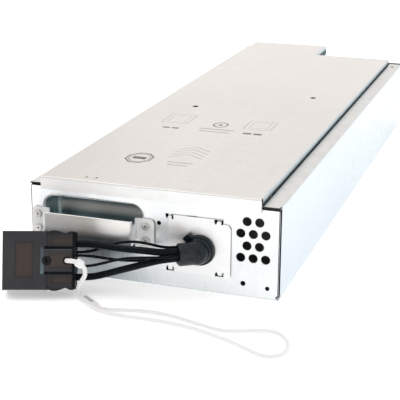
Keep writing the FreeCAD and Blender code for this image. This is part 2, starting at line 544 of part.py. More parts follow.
# wire bores from the rear, and a recess for the seal of the three thin leads
BORE_R, BARREL_R = 3.15, 3.05
SEAL = (52.6, CL, 16.4, 31.2, -16.3, -6.2)
house = house.cut(Part.makeCompound([cyl(BORE_R, CL - 25.0, V(CL + 0.01, CW / 2 + k * PW, -CT / 2), V(-1, 0, 0))
                                     for k in (-1, 1)]))
house = house.cut(cbox(SEAL[0], SEAL[1] + 1, *SEAL[2:]))
house = house.removeSplitter()
put("connector_housing", to_con(house))
AUX = [(29.5, -14.5), (27.0, -8.3), (18.5, -8.0)]
ends = [cyl(WIRE_D / 2, SEAL[1] - SEAL[0] + 0.02, V(CL + 0.01, w_, n_), V(-1, 0, 0)) for w_, n_ in AUX]
seal = cbox(*SEAL).cut(Part.makeCompound(ends))
put("connector_seal", to_con(seal))
# power contacts: crimp barrel in the bore, flat blade forward on the socket's floor, and a spring strip on each
for nm, k in (("contact_pos", 1), ("contact_neg", -1)):
    wc = CW / 2 + k * PW
    barrel_c = cyl(BARREL_R, 18.0, V(CL - 9.0, wc, -CT / 2), V(-1, 0, 0)).fuse(
        cyl(CABLE_D / 2, 12.0, V(CL, wc, -CT / 2), V(-1, 0, 0)))
    blade = cbox(4.0, 25.5, wc - 4.6, wc + 4.6, CAV_N0, CAV_N0 + 2.5)
    neck_c = cbox(25.0, 32.0, wc - 2.2, wc + 2.2, CAV_N0 + 0.4, CAV_N0 + 2.5)
    blade = blade.makeFillet(1.2, [e for e in blade.Edges if abs(e.BoundBox.YLength - 9.2) < 1e-3
                                   and e.BoundBox.XMax < 5])
    c_ = fuse(barrel_c, blade, neck_c)
    put(nm, to_con(c_))
sp = []
for k in (-1, 1):
    wc = CW / 2 + k * PW
    sp.append(cbox(6.0, 25.5, wc - 3.6, wc + 3.6, CAV_N0 + 2.5, CAV_N0 + 3.1))
put("contact_springs", to_con(Part.makeCompound(sp)))
# crimped ends of the three thin leads inside the seal
put("aux_pins", to_con(Part.makeCompound([cyl(WIRE_D / 2, SEAL[1] - SEAL[0], V(CL, w_, n_), V(-1, 0, 0))
                                          for w_, n_ in AUX])))

# ---------------------------------------------------------------- outside leads
# offsets of the five leads on the gland's nose: sideways (towards the panel) and up
pside = unit(V(0, 0, 1).cross(nose_d))
if pside.y < 0:
    pside = pside * -1
pup = unit(nose_d.cross(pside))
if pup.z < 0:
    pup = pup * -1


def nose_pt(s, u):
    return nose + pside * s + pup * u


def rear_pt(w_, n_):
    return con(CL, w_, n_)


ROUTES = {}
ROUTES["power_cable_pos"] = (CABLE_D, [rear_pt(CW / 2 + PW, -CT / 2), rear_pt(CW / 2 + PW, -CT / 2) + ca * 12.5,
                                       V(-29.0, -23.0, 37.4), V(-17.0, -26.1, 38.4), V(-5.3, -29.3, 39.9),
                                       V(7.2, -29.9, 40.6), nose_pt(0, 2.85) + nose_d * 12.2, nose_pt(0, 2.85)])
ROUTES["power_cable_neg"] = (CABLE_D, [rear_pt(CW / 2 - PW, -CT / 2), rear_pt(CW / 2 - PW, -CT / 2) + ca * 11.8,
                                       V(-27.3, -30.0, 17.0), V(-15.5, -30.4, 21.7), V(-3.8, -31.2, 26.4),
                                       V(8.0, -30.9, 30.9), nose_pt(0, -2.85) + nose_d * 11.8, nose_pt(0, -2.85)])
ROUTES["sense_wire_a"] = (WIRE_D, [rear_pt(*AUX[0]), rear_pt(*AUX[0]) + ca * 9.5, V(-32.5, -18.4, 35.2),
                                   V(-20.2, -17.5, 39.9), V(-7.2, -18.3, 42.5), V(6.0, -21.0, 43.1),
                                   nose_pt(3.5, 5.2) + nose_d * 8.5, nose_pt(3.5, 5.2)])
ROUTES["sense_wire_b"] = (WIRE_D, [rear_pt(*AUX[1]), rear_pt(*AUX[1]) + ca * 9.5, V(-29.8, -24.3, 27.8),
                                   V(-16.8, -24.1, 27.8), V(-3.8, -25.2, 29.3), V(8.2, -24.6, 31.6),
                                   nose_pt(4.2, -1.4) + nose_d * 8.0, nose_pt(4.2, -1.4)])
ROUTES["sense_wire_c"] = (WIRE_D, [rear_pt(*AUX[2]), rear_pt(*AUX[2]) + ca * 9.5, V(-27.7, -31.3, 26.6),
                                   V(-14.8, -33.3, 32.2), V(-1.8, -34.4, 35.4), V(11.1, -33.0, 36.6),
                                   nose_pt(-4.3, 0.2) + nose_d * 8.8, nose_pt(-4.3, 0.2)])
for nm, (d_, pts) in ROUTES.items():
    outer_tube = tube(pts, d_ / 2.0, nm)
    put(nm, outer_tube)

# ---------------------------------------------------------------- pull cord
SL_DIR = V(math.cos(math.radians(-38)), math.sin(math.radians(-38)), 0)
SL_P = V(-SL_DIR.y, SL_DIR.x, 0)
SL_L = 22.0
SL0 = V(-40.2, -47.0, 2.1)
SL1 = SL0 + SL_DIR * SL_L
N_STOP = -CT - 2.05
STEM = [con(HOLES[1], CW / 2, N_STOP), con(HOLES[1] + 0.04, CW / 2, -4.0), con(HOLES[1], CW / 2, 5.2),
        con(57.0, 22.6, 7.0), con(63.8, 18.8, 6.2), V(-37.4, -45.1, 21.0), V(-41.0, -45.0, 15.0), V(-44.2, -44.2, 10.0),
        SL0 - SL_DIR * 6.0 + V(0, 0, 3.6), SL0 - SL_DIR * 3.6, SL0]
ROUTES["lanyard_stem"] = (CORD_D, STEM)
LOOP = [SL1 + SL_P * 1.95, SL1 + SL_P * 1.95 + SL_DIR * 4.2, V(-12.8, -62.0, 2.0), V(-2.5, -59.9, 1.9), V(9.0, -56.6, 1.9),
        V(22.0, -55.2, 1.9), V(38.0, -57.2, 1.9),
        V(58.5, -63.7, 1.9), V(79.1, -70.2, 1.9), V(90.2, -67.8, 1.9), V(100.6, -63.0, 1.9), V(111.2, -58.6, 1.9),
        V(121.0, -60.2, 1.9), V(129.0, -69.4, 1.9), V(133.2, -79.6, 1.9), V(133.2, -89.4, 1.9), V(130.0, -96.6, 1.9),
        V(123.8, -100.4, 1.9), V(115.8, -98.8, 1.9), V(102.5, -91.2, 1.9), V(88.5, -83.4, 1.9),
        V(75.2, -78.2, 1.9), V(57.1, -71.9, 1.9), V(35.5, -68.2, 1.9), V(16.0, -68.6, 1.9), V(0.5, -69.0, 1.9),
        V(-11.5, -67.8, 2.0), SL1 - SL_P * 1.95 + SL_DIR * 5.2, SL1 - SL_P * 1.95]
ROUTES["lanyard_loop"] = (CORD_D, LOOP)
put("lanyard_stem", tube(STEM, CORD_D / 2, "lanyard_stem"))
put("lanyard_loop", tube(LOOP, CORD_D / 2, "lanyard_loop"))
sl = Part.makeBox(SL_L, 8.6, 4.3, V(0, -4.3, -2.0))
sl = sl.makeFillet(1.7, [e for e in sl.Edges if abs(e.BoundBox.XLength - SL_L) < 1e-3])
sl = sl.cut(Part.makeCompound([Part.makeBox(13.0, 0.45, 1.0, V(3.2, -0.2, 1.8)), Part.makeBox(12.0, 0.45, 1.0, V(3.6, 1.2, 1.8))]))
sm = FreeCAD.Matrix(SL_DIR.x, SL_P.x, 0, SL0.x, SL_DIR.y, SL_P.y, 0, SL0.y, 0, 0, 1, SL0.z, 0, 0, 0, 1)
sl.Placement = FreeCAD.Placement(sm)
put("lanyard_sleeve", sl)
kd = unit(STEM[4] - STEM[3])
kc = (STEM[3] + STEM[4]) * 0.5
kn = cyl(3.3, 6.8, kc - kd * 3.4, kd)
kn = kn.makeFillet(1.9, [e for e in kn.Edges if e.Closed and len(e.Vertexes) == 1 and e.Curve.TypeId.endswith("Circle")])
kn = kn.cut(tube(STEM, CORD_D / 2 + 0.04, None))
kn = max(kn.Solids, key=lambda q: q.Volume)
put("lanyard_knot", kn)
stop = Part.makeSphere(3.6, V(HOLES[1], CW / 2, N_STOP - 2.4)).cut(cbox(HOLES[1] - 6, HOLES[1] + 6, CW / 2 - 6, CW / 2 + 6,
                                                                     N_STOP, N_STOP + 6))
put("lanyard_stop", to_con(stop))

# ---------------------------------------------------------------- sealed blocks
rows = [BAT_Y0 + BAT_PITCH * i for i in range(5)]


def block(side, y0):
    x0, x1 = sorted((side * BAT_XIN, side * (BAT_XIN + BAT_X)))
    b = box(x0, x1, y0, y0 + BAT_Y, Z_BAT, Z_BAT + BAT_Z)
    b = b.makeFillet(1.5, pick(b, lambda q, e: q.YLength > 50))
    # lid joint as a shallow groove near the terminal end
    ring_o = box(x0 - 1, x1 + 1, y0 + 88.0, y0 + 89.0, Z_BAT - 1, Z_BAT + BAT_Z + 1)
    ring_i = box(x0 + 0.5, x1 - 0.5, y0 + 87.0, y0 + 90.0, Z_BAT + 0.5, Z_BAT + BAT_Z - 0.5)
    b = b.cut(ring_o.cut(ring_i))
    tabs_ = []
    for tx in (TAB_X_IN, TAB_X_OUT):
        tabs_.append(box(side * tx - 3.15, side * tx + 3.15, y0 + BAT_Y - 3, y0 + BAT_Y + 5.2, TAB_Z - 0.4, TAB_Z + 0.4))
    return b.multiFuse(tabs_).removeSplitter()


order = [(1, 0), (1, 1), (1, 2), (1, 3), (1, 4), (-1, 4), (-1, 3), (-1, 2), (-1, 1), (-1, 0)]
for i, (sd, rw) in enumerate(order):
    put("battery_%02d" % (i + 1), block(sd, rows[rw]))


def boot(side, tx, rw):
    y1 = rows[rw] + BAT_Y
    b = box(side * tx - 4.2, side * tx + 4.2, y1 + 0.2, y1 + 6.8, TAB_Z - 4.0, TAB_Z + 4.5)
    return b.cut(box(side * tx - 3.15, side * tx + 3.15, y1 - 1, y1 + 5.2, TAB_Z - 0.4, TAB_Z + 0.4))


JW = 3.6    # jumper wire over its insulation
CHX = 8.2   # its place in the channel between the columns
num = 0
for sd in (1, -1):
    seq = range(4) if sd > 0 else range(3, -1, -1)
    for rw in seq:
        num += 1
        ya, yb = rows[rw] + BAT_Y + 3.6, rows[rw + 1] + BAT_Y + 3.6
        pts = [V(sd * (TAB_X_IN - 4.2), ya, TAB_Z), V(sd * CHX, ya, TAB_Z), V(sd * CHX, yb, 42.0),
               V(sd * TAB_X_OUT, yb, 42.0), V(sd * TAB_X_OUT, yb, TAB_Z - 4.0)]
        w_ = tube(pts, JW / 2, None, rmax=5.0)
        put("jumper_%02d" % num, fuse(w_, boot(sd, TAB_X_IN, rw), boot(sd, TAB_X_OUT, rw + 1)))

# heavy leads inside, from the gland to the free ends of the string
y1r = rows[0] + BAT_Y + 3.6
pl = tube([V(44.5, y_in, 32.2), V(44.5, 19.0, 32.2), V(-8.2, 19.0, 32.6), V(-8.2, y1r, 32.6), V(TAB_X_OUT, y1r, 32.6),
           V(TAB_X_OUT, y1r, TAB_Z - 4.0)], CABLE_D / 2, "pack_lead_neg", rad_list=[9.5, 11.0, 19.0, 14.0])
put("pack_lead_neg", fuse(pl, boot(1, TAB_X_OUT, 0)))
pl = tube([V(37.5, y_in, 39.2), V(37.5, 19.0, 39.2), V(8.2, 19.0, 39.4), V(8.2, y1r, 39.4), V(-TAB_X_OUT, y1r, 39.4),
           V(-TAB_X_OUT, y1r, TAB_Z - 4.0)], CABLE_D / 2, "pack_lead_pos", rad_list=[9.5, 8.5, 19.0, 9.0])
put("pack_lead_pos", fuse(pl, boot(-1, TAB_X_OUT, 0)))
# fuse holder in the long left end, and the leads to it
y5 = rows[4] + BAT_Y + 3.6
FX0, FX1, FY, FZ = -64.0, -24.0, 603.0, 16.0
fuse_b = cyl(5.15, 36.0, V(FX0 + 2, FY, FZ), V(1, 0, 0))
holder = fuse(box(FX0, FX1, FY - 6, FY + 6, T, 8.0), box(FX0, FX0 + 7, FY - 6, FY + 6, 7.5, 22.0),
              box(FX1 - 7, FX1, FY - 6, FY + 6, 7.5, 22.0)).cut(fuse_b)
holder = holder.cut(box(FX0 + 2, FX1 - 2, FY - 3.4, FY + 3.4, FZ, 23.0))
put("fuse_holder", holder)
put("string_fuse", fuse_b)
ml = tube([V(TAB_X_IN - 4.2, y5, 58.0), V(-16.0, y5 + 6.0, 56.0), V(-9.0, FY, 16.0), V(FX1, FY, 16.0)], JW / 2, "midlead_a",
          rmax=9.0)
put("midlead_a", fuse(ml, boot(1, TAB_X_IN, 4)))
ml = tube([V(-TAB_X_IN, y5 + 3.2, TAB_Z), V(-TAB_X_IN, 588.0, TAB_Z), V(-52.0, 594.0, 44.0), V(-80.0, 592.0, 24.0),
           V(-80.0, FY, 16.0), V(FX0, FY, 16.0)], JW / 2, "midlead_b", rmax=14.0)
put("midlead_b", fuse(ml, boot(-1, TAB_X_IN, 4)))
tl = tube([V(42.6, y_in, 27.9), V(42.6, 15.6, 27.9), V(2.6, 15.6, 27.9), V(2.6, 562.0, 27.9), V(-6.8, 580.0, 29.8),
           V(-8.5, 597.0, 34.0),
           V(FX1 - 3.5, FY, 34.0), V(FX1 - 3.5, FY, 22.0)], WIRE_D / 2, "tap_lead", rmax=6.0)
# the tap ends in a small eyelet on the holder's post
put("tap_lead", tl)
th = tube([V(36.4, y_in, 28.3), V(36.4, 12.0, 28.3), V(-3.0, 12.0, 28.3), V(-3.0, 280.0, 28.3), V(-11.1, 290.0, 35.0),
           V(-11.1, 300.0, 35.0)], WIRE_D / 2, "thermistor_lead", rmax=5.0)
put("thermistor_lead", th)
bead = box(-BAT_XIN, -9.1, 300.0, 309.0, 32.0, 38.0)
bead = bead.makeFillet(1.2, pick(bead, lambda q, e: q.YLength > 8 and q.XMax > -10))
put("thermistor", bead)

# ---------------------------------------------------------------- insulation and padding
ln = box(-W / 2 + T, W / 2 - T, 27.0, 583.0, T, 69.0)
ln = ln.makeFillet(1.3, pick(ln, lambda q, e: q.YLength > 500 and near(q.ZMax, T)))
ln_i = box(-W / 2 + T + 0.5, W / 2 - T - 0.5, 26.0, 584.0, T + 0.5, 70.0)
ln_i = ln_i.makeFillet(0.8, pick(ln_i, lambda q, e: q.YLength > 500 and near(q.ZMax, T + 0.5)))
put("liner", ln.cut(ln_i))
ztop = Z_BAT + BAT_Z
put("foam_pad_right", box(16.0, 86.0, 30.0, 560.0, ztop, COV_Z1 - T))
put("foam_pad_left", box(-91.0, -16.0, 30.0, 560.0, ztop, COV_Z1 - T))
put("centre_spacer", box(-BAT_XIN, BAT_XIN, 34.0, 560.0, Z_BAT, 26.0))
put("rear_spacer_right", box(34.0, 100.0, 571.5, 582.5, Z_BAT, 50.0))
put("rear_spacer_left", box(-100.0, -42.0, 571.5, 582.5, Z_BAT, 50.0))

# ---------------------------------------------------------------- export
front = min(PARTS[k].BoundBox.YMin for k in PARTS if k not in ROUTES and not k.startswith("lanyard")
            and k not in ("connector_housing", "connector_seal", "contact_pos", "contact_neg", "contact_springs", "aux_pins"))
back = max(PARTS[k].BoundBox.YMax for k in PARTS)
Y_MID = round((front + back) / 2.0, 3)
print("front", front, "back", back, "Y_MID", Y_MID)
for f in os.listdir("parts"):
    if f.endswith(".step"):
        os.remove(os.path.join("parts", f))
for k in sorted(PARTS):
    sh = PARTS[k].copy()
    sh.translate(V(0, -Y_MID, 0))
    sh.exportStep("parts/%s.step" % k)
    print("%-20s solids %2d  vol %10.0f  valid %s  z %.2f..%.2f" % (
        k, len(sh.Solids), sh.Volume, sh.isValid(), sh.BoundBox.ZMin, sh.BoundBox.ZMax))
for nm, (d_, pts) in ROUTES.items():
    print("ROUTE", nm, d_, [(round(p.x, 2), round(p.y - Y_MID, 2), round(p.z, 2)) for p in pts])
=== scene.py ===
import bpy
import bmesh
import math
from mathutils import Matrix, Vector


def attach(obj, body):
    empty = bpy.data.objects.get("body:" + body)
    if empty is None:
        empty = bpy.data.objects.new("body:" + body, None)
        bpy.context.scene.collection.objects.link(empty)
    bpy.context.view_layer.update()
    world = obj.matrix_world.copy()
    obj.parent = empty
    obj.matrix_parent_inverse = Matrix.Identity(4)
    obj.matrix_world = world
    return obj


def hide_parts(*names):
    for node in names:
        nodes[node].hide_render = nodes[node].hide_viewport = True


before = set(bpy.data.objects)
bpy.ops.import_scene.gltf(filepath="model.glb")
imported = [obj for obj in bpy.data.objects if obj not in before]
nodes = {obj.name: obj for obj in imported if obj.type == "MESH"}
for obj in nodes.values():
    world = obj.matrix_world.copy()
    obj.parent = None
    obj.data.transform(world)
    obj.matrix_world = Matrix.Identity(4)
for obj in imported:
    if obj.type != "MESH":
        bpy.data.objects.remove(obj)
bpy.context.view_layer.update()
YM = 0.305842      # how far the front panel stands in front of the origin
MM = 0.001
scene = bpy.context.scene


def P(x, y, z):
    """A point given from the front panel's plane, in millimetres, in the row frame in metres."""
    return Vector((x * MM, y * MM - YM, z * MM))


# ------------------------------------------------------------------ camera
cam_d = bpy.data.cameras.new("camera")
cam = bpy.data.objects.new("camera", cam_d)
scene.collection.objects.link(cam)
right = Vector((0.94866, 0.31627, 0.00533)).normalized()
fwd = Vector((-0.29882, 0.90159, -0.31279)).normalized()
up = right.cross(fwd).normalized()
right = fwd.cross(up).normalized()
m = Matrix(((right.x, up.x, -fwd.x, 0), (right.y, up.y, -fwd.y, 0), (right.z, up.z, -fwd.z, 0), (0, 0, 0, 1)))
m.translation = P(301.57, -788.58, 349.54)
cam.matrix_world = m
cam_d.sensor_fit = "HORIZONTAL"
cam_d.sensor_width = 36.0
cam_d.lens = 36.0 * 1134.0 / 400.0
cam_d.clip_start = 0.05
cam_d.clip_end = 30.0
cam_d.dof.use_dof = False
scene.camera = cam

# ------------------------------------------------------------------ free leads and the pull cord
YAW, LEAN = math.radians(18.8), math.radians(21.0)
CL, CW, CT = 56.0, 46.0, 22.0
ca = Vector((math.cos(YAW), math.sin(YAW), 0))
cb = Vector((-math.sin(YAW), math.cos(YAW), 0))
cw = Vector((0, 0, 1)) * math.cos(LEAN) + cb * math.sin(LEAN)
cn = ca.cross(cw)
co = Vector((-98.5, -67.0, CT * math.sin(LEAN) + 0.28))


def con(a, w, n):
    return co + ca * a + cw * w + cn * n


ROUTES = {
    "power_cable_pos": (5.5, [(-52.95, -332.86, 37.83), (-41.12, -328.83, 37.83), (-29.0, -328.84, 37.4),
        (-17.0, -331.94, 38.4), (-5.3, -335.14, 39.9), (7.2, -335.74, 40.6), (18.82, -331.95, 39.07), (28.35,
        -324.34, 38.7)]),
    "power_cable_neg": (5.5, [(-49.95, -341.68, 13.56), (-38.78, -337.88, 13.56), (-27.3, -335.84, 17.0),
        (-15.5, -336.24, 21.7), (-3.8, -337.04, 26.4), (8.0, -336.74, 30.9), (18.99, -331.8, 33.36), (28.21,
        -324.45, 33.0)]),
    "sense_wire_a": (2.2, [(-53.26, -331.97, 30.51), (-44.26, -328.91, 30.51), (-32.5, -324.24, 35.2), (-20.2,
        -323.34, 39.9), (-7.2, -324.14, 42.5), (6.0, -326.84, 43.1), (19.58, -326.86, 41.31), (26.22, -321.56,
        41.05)]),
    "sense_wire_b": (2.2, [(-51.1, -338.3, 30.4), (-42.11, -335.24, 30.4), (-29.8, -330.14, 27.8), (-16.8,
        -329.94, 27.8), (-3.8, -331.04, 29.3), (8.2, -330.44, 31.6), (19.38, -326.12, 34.69), (25.63, -321.14,
        34.45)]),
    "sense_wire_c": (2.2, [(-50.03, -341.45, 22.57), (-41.04, -338.39, 22.57), (-27.7, -337.14, 26.6), (-14.8,
        -339.14, 32.2), (-1.8, -340.24, 35.4), (11.1, -338.84, 36.6), (24.09, -333.24, 36.32), (30.97, -327.75,
        36.05)]),
    "lanyard_stem": (3.6, [(-61.06, -327.67, 21.02), (-54.99, -345.38, 28.2), (-52.26, -353.52, 31.5), (-45.05,
        -352.99, 31.77), (-38.41, -351.38, 27.94), (-37.4, -350.94, 21.0), (-41.0, -350.84, 15.0), (-44.2,
        -350.04, 10.0), (-44.93, -349.15, 5.7), (-43.04, -350.63, 2.1), (-40.2, -352.84, 2.1)]),
    "lanyard_loop": (3.6, [(-21.66, -364.85, 2.1), (-18.35, -367.44, 2.1), (-12.8, -367.84, 2.0), (-2.5,
        -365.74, 1.9), (9.0, -362.44, 1.9), (22.0, -361.04, 1.9), (38.0, -363.04, 1.9), (58.5, -369.54, 1.9),
        (79.1, -376.04, 1.9), (90.2, -373.64, 1.9), (100.6, -368.84, 1.9), (111.2, -364.44, 1.9), (121.0,
        -366.04, 1.9), (129.0, -375.24, 1.9), (133.2, -385.44, 1.9), (133.2, -395.24, 1.9), (130.0, -402.44,
        1.9), (123.8, -406.24, 1.9), (115.8, -404.64, 1.9), (102.5, -397.04, 1.9), (88.5, -389.24, 1.9), (75.2,
        -384.04, 1.9), (57.1, -377.74, 1.9), (35.5, -374.04, 1.9), (16.0, -374.44, 1.9), (0.5, -374.84, 1.9),
        (-11.5, -373.64, 2.0), (-19.97, -371.12, 2.1), (-24.06, -367.92, 2.1)]),
}


def curve_from(name, pts, dia, res=10, ring=5):
    cu = bpy.data.curves.new(name, "CURVE")
    cu.dimensions = "3D"
    sp = cu.splines.new("NURBS")
    sp.points.add(len(pts) - 1)
    for p, q in zip(sp.points, pts):
        p.co = (q[0] * MM, q[1] * MM, q[2] * MM, 1.0)
        p.radius = dia * MM / 2.0
    sp.order_u = 3
    sp.use_endpoint_u = True
    cu.resolution_u = res
    cu.bevel_depth = 1.0
    cu.bevel_resolution = ring
    cu.use_fill_caps = True
    ob = bpy.data.objects.new(name, cu)
    scene.collection.objects.link(ob)
    return ob


LEADS = {}
for key, (dia, pts) in ROUTES.items():
    LEADS[key] = curve_from(key + "_look", pts, dia, res=14 if dia > 3 else 10, ring=6)


def length_of(pts):
    """Length of the clamped quadratic B-spline through these control points."""
    n = len(pts)
    vs = [Vector(p) for p in pts]
    total = 0.0
    for i in range(n - 2):
        a = vs[0] if i == 0 else (vs[i] + vs[i + 1]) / 2.0
        c = vs[n - 1] if i == n - 3 else (vs[i + 1] + vs[i + 2]) / 2.0
        b = vs[i + 1]
        last = a
        for k in range(1, 25):
            t = k / 24.0
            q = a * (1 - t) ** 2 + b * 2 * t * (1 - t) + c * t * t
            total += (q - last).length
            last = q
    return total


for key, ob in LEADS.items():
    dia, pts = ROUTES[key]
    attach(ob, "root")
    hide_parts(key)
    real = length_of(pts) * MM
    print(key, "spline length", round(real, 4))

for key in ("power_cable_pos", "power_cable_neg", "sense_wire_a", "sense_wire_b", "sense_wire_c"):
    dia, pts = ROUTES[key]
    ob = LEADS[key]
dia, pts = ROUTES["lanyard_stem"]
dia, pts = ROUTES["lanyard_loop"]


# ------------------------------------------------------------------ materials
class M:
    """A small node-tree writer."""

    def __init__(self, name):
        self.mat = bpy.data.materials.new(name)
        self.mat.use_nodes = True
        self.nt = self.mat.node_tree
        self.nt.nodes.clear()
        self.out = self.n("ShaderNodeOutputMaterial")
        self.b = self.n("ShaderNodeBsdfPrincipled")
        self.nt.links.new(self.b.outputs[0], self.out.inputs[0])
        self.tc = self.n("ShaderNodeTexCoord")

    def n(self, kind, **props):
        x = self.nt.nodes.new(kind)
        for k, v in props.items():
            setattr(x, k, v)
        return x

    def link(self, a, b):
        self.nt.links.new(a, b)

    def put(self, sock, val):
        if isinstance(val, bpy.types.NodeSocket):
            self.nt.links.new(val, sock)
        else:
            sock.default_value = val

    def math(self, op, a, b=None, c=None, clamp=False):
        x = self.n("ShaderNodeMath", operation=op)
        x.use_clamp = clamp
        self.put(x.inputs[0], a)
        if b is not None:
            self.put(x.inputs[1], b)
        if c is not None:
            self.put(x.inputs[2], c)
        return x.outputs[0]

    def scaled(self, scale, src="Object", rot=(0, 0, 0)):
        x = self.n("ShaderNodeMapping")
        self.link(self.tc.outputs[src], x.inputs["Vector"])
        x.inputs["Scale"].default_value = scale
        x.inputs["Rotation"].default_value = rot
        return x.outputs[0]

    def noise(self, vec, scale, detail=3.0, rough=0.5, dist=0.0):
        x = self.n("ShaderNodeTexNoise")
        self.link(vec, x.inputs["Vector"])
        x.inputs["Scale"].default_value = scale
        x.inputs["Detail"].default_value = detail
        x.inputs["Roughness"].default_value = rough
        x.inputs["Distortion"].default_value = dist
        return x.outputs["Fac"]

    def voronoi(self, vec, scale, out="Color", feature="F1"):
        x = self.n("ShaderNodeTexVoronoi", feature=feature)
        self.link(vec, x.inputs["Vector"])
        x.inputs["Scale"].default_value = scale
        return x.outputs[out]

    def remap(self, v, a, b, c, d, clamp=True):
        x = self.n("ShaderNodeMapRange")
        x.clamp = clamp
        self.put(x.inputs["Value"], v)
        x.inputs["From Min"].default_value = a
        x.inputs["From Max"].default_value = b
        x.inputs["To Min"].default_value = c
        x.inputs["To Max"].default_value = d
        return x.outputs["Result"]

    def mix(self, fac, a, b, mode="MIX"):
        x = self.n("ShaderNodeMix", data_type="RGBA", blend_type=mode)
        self.put(x.inputs[0], fac)
        for sock, val in ((x.inputs[6], a), (x.inputs[7], b)):
            if isinstance(val, bpy.types.NodeSocket):
                self.link(val, sock)
            else:
                sock.default_value = (val[0], val[1], val[2], 1.0)
        return x.outputs[2]

    def bump(self, height, strength, dist, normal=None):
        x = self.n("ShaderNodeBump")
        self.link(height, x.inputs["Height"])
        x.inputs["Strength"].default_value = strength
        x.inputs["Distance"].default_value = dist
        if normal is not None:
            self.link(normal, x.inputs["Normal"])
        return x.outputs["Normal"]

    def xyz(self, src="Object"):
        x = self.n("ShaderNodeSeparateXYZ")
        self.link(self.tc.outputs[src], x.inputs[0])
        return x.outputs[0], x.outputs[1], x.outputs[2]

    def mm(self):
        """Position from the front panel's plane, in millimetres."""
        x, y, z = self.xyz()
        return (self.math("MULTIPLY", x, 1000.0), self.math("MULTIPLY_ADD", y, 1000.0, YM * 1000.0),
                self.math("MULTIPLY", z, 1000.0))

    def in_frame(self, rows, o):
        """Coordinates along three directions from the point o, in millimetres of the front panel's frame."""
        x, y, z = self.mm()
        out = []
        for r in rows:
            q = self.math("MULTIPLY_ADD", x, r[0], -(r[0] * o[0] + r[1] * o[1] + r[2] * o[2]))
            q = self.math("MULTIPLY_ADD", y, r[1], q)
            out.append(self.math("MULTIPLY_ADD", z, r[2], q))
        return out

    def ramp(self, v, a, b):
        """0 below a, 1 above b, smooth between; falling if a > b."""
        if a < b:
            return self.remap(v, a, b, 0.0, 1.0)
        return self.remap(v, b, a, 1.0, 0.0)

    def span(self, v, a, b, soft=0.3):
        return self.math("MULTIPLY", self.ramp(v, a - soft, a + soft), self.ramp(v, b + soft, b - soft))

    def area(self, *spans):
        """Product of spans (value, from, to, softness)."""
        out = None
        for sp in spans:
            m_ = self.span(*sp)
            out = m_ if out is None else self.math("MULTIPLY", out, m_)
        return out

    def top(self, *masks):
        out = masks[0]
        for m_ in masks[1:]:
            out = self.math("MAXIMUM", out, m_)
        return out

    def near(self, v, at, half, soft=0.15):
        """1 where v is within half of at."""
        return self.ramp(self.math("ABSOLUTE", self.math("SUBTRACT", v, at)), half + soft, half - soft)


def sheet_metal(name, tint_a, tint_b, rough, grain=(1, 0.02, 1), metallic=0.92, spangle=0.25, grain_depth=0.15,
                paint=None, speck=0.0, wave=0.03):
    """Galvanised sheet: a fine rolled grain, faint zinc crystals and slow changes of tone.

    paint(k, colour, roughness) may lay tone and marks over it and returns both."""
    k = M(name)
    g1 = k.noise(k.scaled(grain), 900.0, 3.0, 0.6)
    g2 = k.noise(k.scaled(tuple(v * 0.35 for v in grain)), 420.0, 2.0, 0.5)
    sp = k.voronoi(k.scaled((1, 1, 1)), 130.0)
    sv = k.n("ShaderNodeSeparateColor")
    k.link(sp, sv.inputs[0])
    slow = k.noise(k.scaled((1, 0.5, 1)), 7.0, 3.0, 0.5)
    col = k.mix(k.remap(slow, 0.3, 0.7, 0.0, 1.0), tint_a, tint_b)
    col = k.mix(k.remap(g1, 0.3, 0.7, 0.0, 0.10), col, (0.60, 0.61, 0.62))
    col = k.mix(k.remap(sv.outputs[0], 0.0, 1.0, 0.0, 0.07 * spangle * 4), col, (0.98, 0.98, 1.0))
    if speck > 0.0:
        fine = k.noise(k.scaled((1, 1, 1)), 520.0, 4.0, 0.75)
        col = k.mix(k.remap(fine, 0.52, 0.72, 0.0, speck), col, (0.50, 0.44, 0.40))
        col = k.mix(k.remap(fine, 0.48, 0.30, 0.0, speck), col, (0.97, 0.96, 0.95))
    r = k.math("ADD", k.remap(g2, 0.25, 0.75, rough - 0.05, rough + 0.05),
               k.remap(sv.outputs[1], 0, 1, -0.02, 0.02, False))
    r = k.math("ADD", r, k.remap(slow, 0.3, 0.7, -0.02, 0.03))
    if paint is not None:
        col, r = paint(k, col, r)
    k.put(k.b.inputs["Base Color"], col)
    k.b.inputs["Metallic"].default_value = metallic
    k.put(k.b.inputs["Roughness"], r)
    nrm = k.bump(g1, grain_depth, 0.00002)
    nrm = k.bump(k.noise(k.scaled((1, 1, 1)), 14.0, 1.0, 0.4), wave, 0.0006, nrm)
    k.put(k.b.inputs["Normal"], nrm)
    return k


